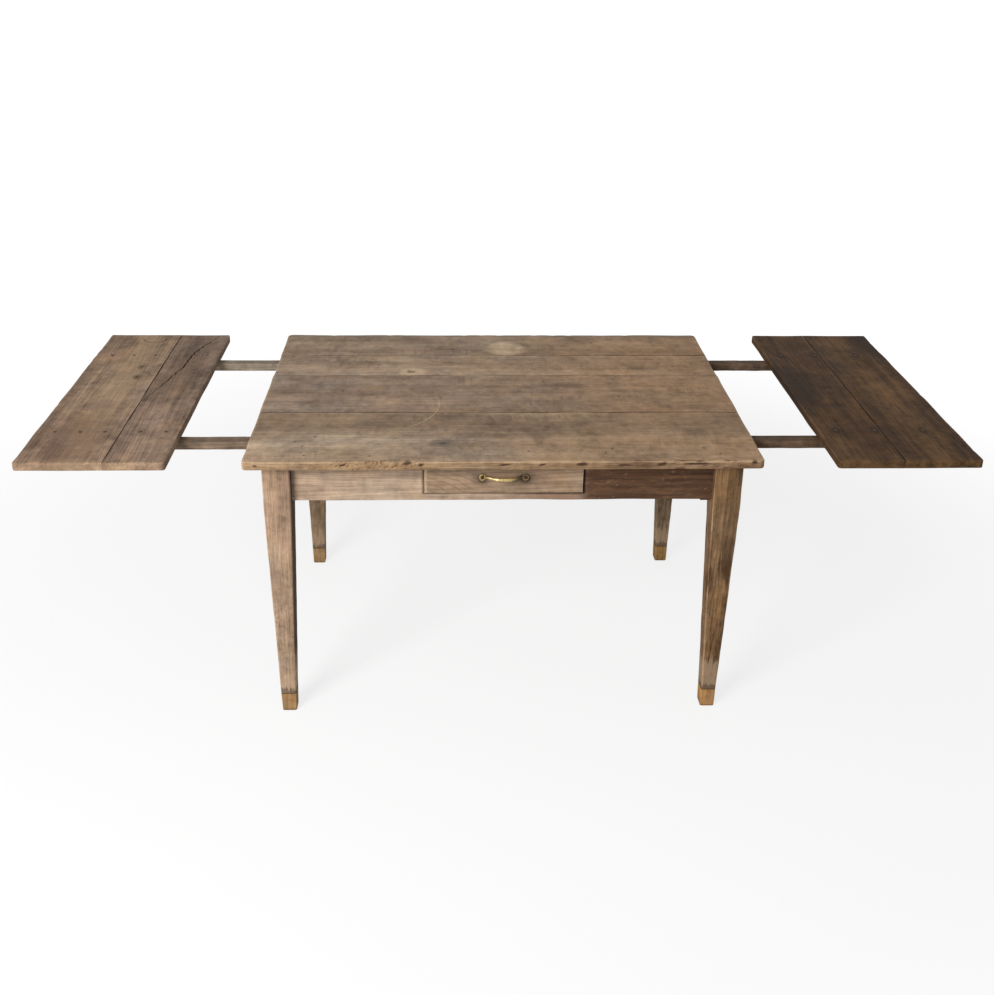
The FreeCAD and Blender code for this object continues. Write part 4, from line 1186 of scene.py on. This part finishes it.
def mark_front(wood):
    """Bare figured grain on the edge, smears beside the seam, then rot and knots."""
    bare = wood.spot(wood.x, wood.y, (-0.33, front_y), (0.13, 0.011), 0.9, 8.0, 0.8)
    wood.lay_toned(bare * 0.25, paint(160, 130, 92))
    bend = wood.noise(22.0, 60.0, 6.0, 4.0, 0.7) * 30.0
    flames = ((wood.x - wood.z * 0.9) * 420.0 + bend).math("SINE").step(0.15, 0.95)
    flames = flames * wood.noise(20.0, 90.0, 14.0, 3.0).step(0.42, 0.58)
    wood.lay(flames * bare * 0.8, paint(86, 58, 37))

    slanted = wood.x * 150.0 + wood.y * 45.0 + wood.noise(14.0, 10.0, 18.0, 3.0) * 15.0
    wiped = wood.spot(wood.x, wood.y, (0.10, front_y + 0.275), (0.14, 0.035), 0.8, 13.0, 1.0)
    wood.lay(slanted.math("SINE").step(0.55, 1.0) * wiped * 0.24, paint(176, 154, 128))

    rotten = wood.noise(22.0, 70.0, 15.0, 4.0, 0.7).step(0.53, 0.64) * wood.x.step(0.14, 0.32)
    wood.lay(rotten * wood.y.step(front_y + 0.014, front_y + 0.004) * 0.7, paint(72, 46, 35))
    near_edge = wood.y.step(front_y + 0.02, front_y + 0.008)
    for x, z, long, tall, lean in EDGE_KNOTS:
        leaning = wood.x - (wood.z - z) * lean
        knot = wood.spot(leaning, wood.z, (x, z), (long, tall), 1.8, 90 * x, 0.9)
        wood.lay(knot * near_edge * 0.9, paint(56, 38, 30))
    lay_knot(wood, GREY_KNOT, (0.036, 0.022), paint(74, 66, 58), paint(112, 100, 88))


# %% The other marks of the top: a scratch, a pale knot, a hot pot, painted shade on the back edge
def mark_scratch(wood):
    """A thin line along the right half of a circle, faded at both ends of its span."""
    x, y = SCRATCH_CENTRE
    near, far = SCRATCH_SPAN
    off_line = ((wood.x - x).apart(wood.y - y) - SCRATCH_RADIUS).math("ABSOLUTE")
    taper = wood.y.step(near, near + 0.03) * wood.y.step(far, far - 0.03)
    line = off_line.step(SCRATCH_WIDTH, SCRATCH_WIDTH * 0.3)
    wood.lay(line * taper * wood.x.step(x, x + 0.01) * 0.85, paint(196, 168, 130))


def mark_pale_knot(wood):
    """A knot in a pale field, to the left of the pot."""
    lay_knot(wood, PALE_KNOT, (0.036, 0.026), paint(112, 88, 68), paint(200, 176, 144), 9.0)


def shade_back_edge(wood):
    """Painted shade: the back edge darkened to grey, where the rear arris turns away from the light.
    """
    wood.lay(wood.y.step(front_y + 0.86, front_y + 0.91) * 0.5, paint(104, 94, 84))


def mark_pot(wood):
    """A faded pale disc with a broken paler rim."""
    pot = wood.spot(wood.x, wood.y, POT_CENTRE, (0.053, 0.055), 0.8, 2.0, 0.7)
    faded = wood.noise(22.0, 40.0, 33.0, 4.0, 0.65) * 0.9 + 0.2
    wood.lay_toned(pot * faded, paint(198, 174, 143))
    from_centre = (wood.x - POT_CENTRE[0]).apart(wood.y - POT_CENTRE[1])
    rim = (from_centre - POT_RIM).math("ABSOLUTE").step(0.006, 0.002)
    broken = wood.noise(20.0, 20.0, 4.0).step(0.4, 0.6)
    wood.lay(rim * broken * 0.35, paint(190, 166, 134))


# %% The finish of the four boards
TOP_TONES = {
    "front": (paint(183, 160, 134), paint(148, 125, 101)),
    "centre": (paint(146, 125, 106), paint(117, 98, 82)),
    "inner": (paint(160, 138, 116), paint(130, 109, 88)),
    "rear": (paint(156, 135, 113), paint(128, 108, 88)),
}
TOP_LOOK = dict(
    late=paint(98, 78, 60), ring=7 * MM, ring_share=0.2, mottle=1.0, streak=0.55,
    bloom=paint(134, 123, 112), warm=paint(166, 136, 100), rubbed=paint(182, 156, 124),
    rubbed_share=0.6, nick_share=0.35,
)
TOP_BROWN = paint(150, 114, 78)
# The line of each board's heart: how far to the side, how deep, and how it leans
HEARTS = ((0.05, 0.70, 0.02), (-0.06, 0.70, -0.03), (0.03, 0.70, 0.04), (-0.03, 0.70, 0.02))
TOP_MARKS = {
    "front": (mark_front, mark_scratch),
    "centre": (mark_scratch,),
    "inner": (mark_pale_knot, mark_pot),
    "rear": (mark_pot, shade_back_edge),
}

for number, (board, (light, deep)) in enumerate(TOP_TONES.items()):
    node = f"top_board_{board}"
    offset, level, tilt = HEARTS[number]
    heart = (middle_of(node).y + offset, level, tilt)
    seed = 5.3 * number + 1.7
    wood = start_wood(f"top_{board}", "x", heart, seed, light=light, deep=deep, **TOP_LOOK)
    wood.lay_toned(wood.x.step(-0.3, 0.5) * 0.45, TOP_BROWN)
    if board == "front":
        tint_front(wood)
    wear_wood(wood, worn_arris)
    lay_use(wood, number, board)
    for mark in TOP_MARKS[board]:
        mark(wood)
    finish_wood(wood, pieces[node])

# %% [markdown]
# ## Legs and tips
#
# Each leg is its own tree: the front left one is pale and pinkish, the front right one
# brown with dark streaks. The tips are new wood, and above their joint the old wood is
# rubbed pale with a ragged dark line of old polish round it. The front left leg has painted
# shade on the side turned away from the window, and every leg painted shade at its top.

# %% The tones of the legs and tips
LEG_TONES = {
    "front_left": dict(
        light=paint(172, 146, 123), deep=paint(150, 124, 100), late=paint(118, 93, 73),
        bloom=paint(142, 123, 108), warm=paint(158, 128, 96), nick_share=0.3, bloom_share=0.3,
    ),
    "front_right": dict(
        light=paint(124, 95, 65), deep=paint(90, 65, 41), late=paint(64, 44, 27),
        bloom=paint(112, 95, 78), warm=paint(130, 98, 63), bloom_share=0.3, streak=1.5,
    ),
    "rear_right": dict(
        light=paint(150, 127, 100), deep=paint(114, 91, 67), late=paint(80, 60, 42),
        bloom=paint(124, 110, 92), streak=1.2,
    ),
    "rear_left": dict(
        light=paint(148, 125, 99), deep=paint(114, 92, 70), late=paint(82, 64, 46),
        bloom=paint(124, 112, 96), streak=1.2,
    ),
}
TIP_TONES = {
    "front_left": (paint(168, 136, 96), paint(145, 112, 74)),
    "front_right": (paint(169, 125, 73), paint(145, 103, 55)),
    "rear_right": (paint(162, 127, 78), paint(136, 102, 58)),
    "rear_left": (paint(160, 130, 94), paint(132, 106, 74)),
}
PAINTED_SIDE_SHADE = paint(70, 53, 42)
tip_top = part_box("front_left_foot_tip")[1].z


# %% The marks of a leg
def mark_leg(wood, number, corner, late):
    """Dark streaks and speckles low down, painted shade, and what feet and mops have rubbed."""
    leg = f"{corner}_leg"
    streak = wood.noise(5.0, 34.0, 9.0 + number, 4.0, 0.65).step(0.5, 0.62)
    low_down = wood.z.step(0.60, 0.42) * wood.z.step(0.09, 0.18)
    wood.lay(streak * low_down * (0.85 if corner == "front_right" else 0.3), late)
    speckle = wood.noise(38.0, 90.0, 4.0 + number, 4.0, 0.7).step(0.52, 0.64)
    wood.lay(speckle * wood.z.step(0.44, 0.34) * wood.z.step(0.13, 0.22) * 0.45, late)
    # Painted shade: the front left leg's side turned away from the window is darkened
    if corner == "front_left":
        half = (wood.z * leg_taper + FOOT_WIDTH / 2).least(leg_half)
        shaded = ((wood.x - middle_of(leg).x) / half).step(0.80, 0.97) * wood.z.step(0.12, 0.20)
        wood.lay(shaded * 0.9, PAINTED_SIDE_SHADE)

    above_tip = wood.z - tip_top
    ragged = wood.noise(20.0, 95.0, 3.0 + number, 4.0, 0.7) - 0.5
    pale_rise = 0.105 if corner == "front_right" else 0.07
    pale = (above_tip + ragged * 0.13).step(pale_rise, pale_rise - 0.02)
    wood.lay(pale * 0.6, paint(166, 141, 114))
    wood.lay((above_tip + ragged * 0.07).step(0.020, 0.009) * 0.6, INK)
    wood.lay(above_tip.step(3 * MM, 0.0) * 0.8, BLACK)
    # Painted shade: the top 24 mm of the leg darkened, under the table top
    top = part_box(leg)[1].z
    wood.lay(wood.z.step(top - 24 * MM, top) * 0.45, late)


# %% The finish of the legs and tips
for number, (corner, tones) in enumerate(LEG_TONES.items()):
    centre = middle_of(f"{corner}_leg")
    wood = worn_wood(
        f"{corner}_leg_wood", "z", (centre.x + 0.05, centre.y + 0.16, 0.004), 7.1 * number + 40,
        ring=3.4 * MM, ring_share=0.45, bend=3 * MM, rubbed=paint(180, 152, 120), **tones,
    )
    mark_leg(wood, number, corner, tones["late"])
    finish_wood(wood, pieces[f"{corner}_leg"])
    light, deep = TIP_TONES[corner]
    wood = worn_wood(
        f"{corner}_tip_wood", "z", (centre.x - 0.05, centre.y + 0.03, 0.0), 3.7 * number + 70,
        light=light, deep=deep, late=paint(132, 92, 48), bloom=light, warm=light,
        rubbed=paint(190, 152, 104), ring=3.2 * MM, ring_share=0.55, bend=3 * MM, nick_share=0.2,
    )
    wood.lay((wood.z - tip_top).step(-4 * MM, 0.0) * 0.55, INK)
    wood.lay(wood.z.step(9 * MM, 0.0) * 0.5, INK)
    finish_wood(wood, pieces[f"{corner}_foot_tip"])

# %% [markdown]
# ## Aprons, drawer and what is inside
#
# The front apron is pale to the left of the drawer and a dark red-brown to the right, as if
# old stain had stayed where nobody rubbed. The drawer and the pieces under the top are
# CAD nodes, so only their finish changes.


# %% The front apron's marks
def mark_front_apron(wood, inner_face):
    """Dark scuffed wood to the right of the drawer, and painted shade beside and below its front."""
    border = wood.x + (wood.noise(6.0, 20.0, 5.0, 3.0) - 0.5) * 0.10
    outside = wood.y.step(inner_face - 2 * MM, inner_face - 8 * MM)
    sheltered = border.step(0.16, 0.21) * outside
    streaks = wood.noise(3.0, 90.0, 8.0, 4.0, 0.65).step(0.35, 0.68)
    wood.lay(sheltered * 0.95, streaks.blend(paint(80, 53, 35), paint(49, 30, 19)))
    scuffs = wood.noise(16.0, 90.0, 12.0, 5.0, 0.75).step(0.50, 0.62) * sheltered
    wood.lay(scuffs * 0.38, paint(116, 88, 62))
    flecks = wood.noise(80.0, 110.0, 22.0, 3.0, 0.7).step(0.62, 0.70) * sheltered
    wood.lay(flecks * 0.45, paint(146, 118, 88))

    # Painted shadow: a darker band on the rail just below the drawer's proud front
    under = wood.z.step(rail_top + 4 * MM, rail_top - 4 * MM) * wood.x.step(-0.14, 0.17)
    wood.lay(under * (1 - sheltered) * 0.65, paint(112, 82, 62))
    # Painted shade: black on the walls of the drawer's opening and the rail below, light left, deep
    # right
    beside = wood.x.math("ABSOLUTE").step(drawer_high.x + 9 * MM, drawer_high.x + 3 * MM)
    shade = wood.x.step(0.0, 0.1) * 0.65 + 0.15
    wood.lay(beside * shade * wood.z.step(rail_top - 10 * MM, rail_top), BLACK)
    wood.lay(beside * wood.z.step(rail_top - 6 * MM, rail_top - 1 * MM) * 0.6, BLACK)


# %% The finish of the aprons
PALE_APRON = dict(
    light=paint(176, 153, 131), deep=paint(157, 134, 113), late=paint(118, 94, 76),
    bloom=paint(150, 136, 122), warm=paint(172, 142, 111), blush=paint(160, 132, 114),
    ring=4 * MM, ring_share=0.4, nick_share=0.1, mottle=0.8, streak=0.9,
)
INNER_APRON = dict(
    light=paint(150, 126, 104), deep=paint(118, 94, 74), late=paint(84, 62, 46), ring=5.5 * MM,
)
for number, (node, (axis, _)) in enumerate(APRONS.items()):
    high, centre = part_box(node)[1], middle_of(node)
    heart = ((centre.y if axis == "x" else centre.x) - 0.06, 0.66, 0.02)
    tones = PALE_APRON if node == "front_apron" else INNER_APRON
    wood = worn_wood(f"{node}_wood", axis, heart, 93.0 + 7.7 * number, **tones)
    if node == "front_apron":
        mark_front_apron(wood, high.y)
    # Painted shade: the top 14 mm of each apron darkened, under the table top
    wood.lay(wood.z.step(high.z - 14 * MM, high.z) * 0.5, paint(60, 44, 32))
    finish_wood(wood, pieces[node])

# %% The drawer's front, stained round the handle
# Each stain has a half width, a half height, softness, share and colour, the wide one first
EYE_STAINS = ((26 * MM, 17 * MM, 1.2, 0.6, INK), (14 * MM, 13 * MM, 0.7, 0.75, BLACK))
# How dark the stains are at the left and right eye
STAIN_STRENGTHS = (0.7, 0.9)

wood = worn_wood(
    "drawer_front_wood", "x", (face_y - 0.10, handle_middle.z - 0.09, 0.0), 61.0,
    box_arris("drawer_front", 3 * MM),
    light=paint(150, 126, 103), deep=paint(131, 107, 85), late=paint(102, 80, 62),
    bloom=paint(137, 121, 105), warm=paint(152, 122, 92), blush=paint(144, 118, 100),
    rubbed=paint(176, 149, 118), ring=9 * MM, ring_share=0.4, bend=22 * MM, nick_share=0.15,
    mottle=0.7,
)
for (_, sign), strength in zip(LEFT_RIGHT, STAIN_STRENGTHS):
    centre = (handle_middle.x + sign * span_half, handle_middle.z - 4 * MM)
    for number, (wide, tall, soft, share, colour) in enumerate(EYE_STAINS):
        halo = wood.spot(wood.x, wood.z, centre, (wide, tall), 0.5, 1.0 + sign + number, soft)
        wood.lay(halo * strength * share, colour)
low, high = drawer_low, drawer_high
# Painted highlight: a pale strip down the drawer front's left edge, which faces the window
wood.lay(wood.x.step(low.x + 9 * MM, low.x + 3 * MM) * 0.6, paint(188, 162, 132))
slanted = wood.x * 0.42 + wood.z + (wood.noise(9.0, 20.0, 6.0, 3.0) - 0.5) * 0.03
lines = (slanted * 330.0).math("SINE").step(0.6, 1.0)
corner = wood.spot(wood.x, wood.z, (low.x + 0.07, low.z + 0.03), (0.075, 0.030), 0.5, 9.0, 0.9)
wood.lay(lines * corner * 0.35, paint(96, 74, 57))
# Painted shade: the top 10 mm of the drawer front darkened, under the table top
wood.lay(wood.z.step(high.z - 10 * MM, high.z) * 0.5, paint(84, 66, 52))
finish_wood(wood, nodes["drawer_front"])

# %% The drawer's box and the wood under the top
CLEAN_WOOD = dict(
    light=paint(176, 148, 116), deep=paint(148, 120, 90), late=paint(118, 90, 62),
    bloom=paint(150, 132, 112), ring=4 * MM, rubbed_share=0.35, nick_share=0.5,
)
DARK_WOOD = dict(CLEAN_WOOD, light=paint(88, 66, 48), deep=paint(66, 48, 35), bloom=INK)
inner = ["drawer_left_side", "drawer_right_side", "drawer_back", "drawer_bottom"]
inner += [f"{side}_drawer_{part}" for side, _ in LEFT_RIGHT for part in ("bearer", "guide", "stop")]
inner += ["left_cross_batten", "right_cross_batten", "corner_blocks", "foot_dowels"]
inner += [name for name in nodes if name.endswith("_cleat")]
for number, node in enumerate(inner):
    low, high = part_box(node)
    size = high - low
    upright = node in ("corner_blocks", "foot_dowels")
    grain = "z" if upright else "xyz"[max(range(3), key=lambda axis: size[axis])]
    centre = middle_of(node)
    heart = (centre.x + 0.04 if grain == "y" else centre.y + 0.04, centre.z - 0.05, 0.01)
    tones = DARK_WOOD if node == "corner_blocks" else CLEAN_WOOD
    arris = box_arris(node, 2 * MM)
    wood = worn_wood(f"{node}_wood", grain, heart, 2.9 * number + 120, arris, **tones)
    finish_wood(wood, nodes[node])
print(len(inner), "pieces inside and underneath")

# %% [markdown]
# ## The leaves
#
# The left leaf is a mid grey-brown with the crack and a half ring left by a wet bucket. The
# right leaf spent its life in the dark: brown, with black stains at one corner and along
# its inner edge.

# %% The left leaf's marks
KNOT_DARK = paint(62, 46, 35)
KNOT_FIELD = paint(108, 88, 70)
left_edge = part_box("left_leaf_inner_board")[1].x
BUCKET = (left_edge - 0.220, 0.412)


def mark_left_outer(wood):
    """A half ring of black, a tan strip, a mauve patch and two knots."""
    distance = ((wood.x - BUCKET[0]) / 0.034).apart((wood.y - BUCKET[1]) / 0.03)
    loop = (distance - 1.0).math("ABSOLUTE").step(0.16, 0.04)
    wood.lay(loop * wood.y.step(BUCKET[1] + 0.008, BUCKET[1] - 0.004) * 0.85, BLACK)
    tan = wood.spot(wood.x, wood.y, (left_edge - 0.235, 0.0), (0.05, 0.6), 0.3, 7.0, 0.9)
    wood.lay(tan * 0.35, paint(172, 144, 112))
    mauve = wood.spot(wood.x, wood.y, (left_edge - 0.241, -0.095), (0.03, 0.036), 1.6, 6.0, 1.2)
    wood.lay(mauve * 0.4, paint(96, 76, 70))
    lay_knot(wood, (left_edge - 0.200, 0.10), (0.014, 0.02), KNOT_DARK, KNOT_FIELD)
    lay_knot(wood, (left_edge - 0.205, 0.18), (0.012, 0.02), KNOT_DARK, KNOT_FIELD)


def mark_left_inner(wood):
    """A dull field, with a group of short cuts in it."""
    dull = wood.spot(wood.x, wood.y, (left_edge - 0.07, 0.15), (0.045, 0.24), 1.2, 4.0, 1.4)
    wood.lay(dull * 0.4, paint(92, 74, 62))
    cuts = wood.noise(60.0, 25.0, 14.0, 2.0).step(0.62, 0.68)
    group = wood.spot(wood.x, wood.y, (left_edge - 0.065, 0.16), (0.03, 0.05), 0.4, 5.0, 0.5)
    wood.lay(cuts * group * 0.8, BLACK)


# %% The finish of the left leaf
LEFT_LOOK = dict(
    late=paint(78, 60, 47), bloom=paint(112, 98, 89), warm=paint(142, 112, 82),
    blush=paint(120, 96, 86), rubbed=paint(144, 119, 93), ring=6.5 * MM, ring_share=0.4,
    bloom_share=0.6, bend=20 * MM, mottle=1.3, streak=1.2,
)
# Each board: its light and deep tones, where its heart lies and leans, and its marks
LEFT_BOARDS = {
    "inner": (paint(132, 110, 92), paint(103, 84, 70), 0.03, mark_left_inner),
    "outer": (paint(143, 120, 98), paint(110, 89, 72), -0.02, mark_left_outer),
}
for number, (board, (light, deep, offset, mark)) in enumerate(LEFT_BOARDS.items()):
    node = f"left_leaf_{board}_board"
    heart = (middle_of(node).x + offset, 0.69, offset)
    seed = 210.0 + 9.1 * number
    wood = worn_wood(f"{node}_wood", "y", heart, seed, light=light, deep=deep, **LEFT_LOOK)
    lay_chatter(wood, 3.0 + number, 0.4)
    mark(wood)
    blotch = wood.spot(wood.x, wood.y, (left_edge - 0.28, -0.32), (0.08, 0.15), 2.2, 3.0, 1.0)
    wood.lay(blotch * 0.4, paint(90, 62, 50))
    finish_wood(wood, pieces[node])

# %% The right leaf
RIGHT_LOOK = dict(
    light=paint(94, 69, 43), deep=paint(62, 42, 26), late=paint(41, 27, 17),
    bloom=paint(66, 49, 33), warm=paint(102, 73, 43), blush=paint(66, 42, 28),
    rubbed=paint(96, 72, 47), dirt=paint(26, 18, 13), ring=4.5 * MM, ring_share=0.65,
    bloom_share=0.4, mottle=1.3, streak=1.6, nick_share=0.3,
)
STAIN = paint(40, 28, 19)
SCREW_SHARES = (0.13, 0.41, 0.76)
right_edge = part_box("right_leaf_inner_board")[0].x
leaf_width = cad_box[1][0] - right_edge
# Each board: where its heart lies and leans, and its stain's centre, radii, raggedness, seed
# and softness
RIGHT_BOARDS = {
    "inner": (-0.04, 0.02, (right_edge + 0.015, 0.04), (0.06, 0.17), 0.8, 5.0, 0.9),
    "outer": (0.05, -0.02, (right_edge + 0.345, 0.39), (0.055, 0.15), 0.7, 3.0, 0.8),
}
for number, (board, (offset, tilt, *stain)) in enumerate(RIGHT_BOARDS.items()):
    node = f"right_leaf_{board}_board"
    heart = (middle_of(node).x + offset, 0.68, tilt)
    wood = worn_wood(f"{node}_wood", "y", heart, 250.0 + 11.7 * number, **RIGHT_LOOK)
    blotted = wood.noise(6.0, 60.0, 21.0, 4.0, 0.65) * 0.9 + 0.35
    wood.lay(wood.spot(wood.x, wood.y, *stain) * blotted, STAIN)
    for share in SCREW_SHARES:
        for runner_low, runner_high in runner_boxes:
            centre = (right_edge + leaf_width * share, (runner_low.y + runner_high.y) / 2)
            wood.lay(wood.spot(wood.x, wood.y, centre, (0.011, 0.02), 0.5, share, 0.8) * 0.75, STAIN)
    lines = wood.noise(1.2, 220.0, 17.0, 1.0).step(0.62, 0.70)
    wood.lay(lines * wood.x.step(right_edge + 0.22, right_edge + 0.26) * 0.28, paint(132, 104, 72))
    finish_wood(wood, pieces[node])

# %% The runners
RUNNER_TONES = {
    "left_leaf_front_runner": (paint(124, 105, 88), paint(96, 79, 66)),
    "left_leaf_rear_runner": (paint(140, 127, 110), paint(110, 99, 86)),
    "right_leaf_front_runner": (paint(92, 73, 55), paint(68, 52, 38)),
    "right_leaf_rear_runner": (paint(100, 81, 64), paint(74, 57, 44)),
}
for number, (node, (light, deep)) in enumerate(RUNNER_TONES.items()):
    centre = middle_of(node)
    wood = worn_wood(
        f"{node}_wood", "x", (centre.y + 0.05, centre.z - 0.03, 0.01), 300 + 6.1 * number,
        light=light, deep=deep, late=paint(56, 43, 33), bloom=deep, warm=light,
        rubbed=light, ring=3.5 * MM, bend=5 * MM,
    )
    finish_wood(wood, pieces[node])

# %% [markdown]
# ## Brass and iron
#
# The bow is bright where fingers hold it and brown elsewhere. The screws are iron gone
# brown, with orange rust in patches.

# %% Old brass
METAL_BUMP = {"Distance": 0.3 * MM, "Strength": 0.6}

brass = Finish("old_brass")
mottle = brass.speckle(260.0, 4.0)
fleck = brass.speckle(900.0, 2.0)
from_middle = brass.x - handle_middle.x
outward = (brass.y - face_y).step(-2 * MM, -10 * MM)
held = outward * (1 - from_middle.step(12 * MM, 40 * MM) * 0.9) * mottle.step(0.25, 0.5)
left_eye = from_middle.step(-40 * MM, -46 * MM)
held = held.most(left_eye * mottle.step(0.35, 0.55) * 0.8)
from_screw = (from_middle - span_half).apart(brass.z - handle_middle.z)
worn_rim = from_screw.step(4.5 * MM, 6 * MM) * from_screw.step(8.6 * MM, 7.4 * MM)
held = held.most(worn_rim * mottle.step(0.3, 0.6) * 0.45)
bright = mottle.step(0.3, 0.7).blend(paint(226, 204, 150), paint(192, 160, 100))
dark = mottle.step(0.4, 0.65).blend(paint(74, 56, 36), paint(44, 34, 24))
brass.colour = held.blend(dark, bright)
brass.rough = 0.62 - held * 0.33 + fleck * 0.1
brass.height = mottle + fleck * 0.4
handle = [pieces[name] for name in ("drawer_handle", "left_eye", "right_eye")]
brass.give(handle, METAL_BUMP, Metallic=held * 0.2 + 0.62)

# %% Rusted iron
iron = Finish("rusted_iron")
crust = iron.speckle(420.0, 5.0)
grit = iron.speckle(1500.0, 2.0)
rust = crust.step(0.5, 0.66)
iron.colour = rust.blend(paint(52, 42, 36), paint(108, 66, 40))
iron.rough = rust * 0.3 + grit * 0.2 + 0.45
iron.height = crust + grit * 0.5
screws = [name for name in nodes if name.endswith("_screws")]
iron.give([nodes[name] for name in screws], METAL_BUMP, Metallic=0.75 - rust * 0.6)
print("iron for", ", ".join(screws))
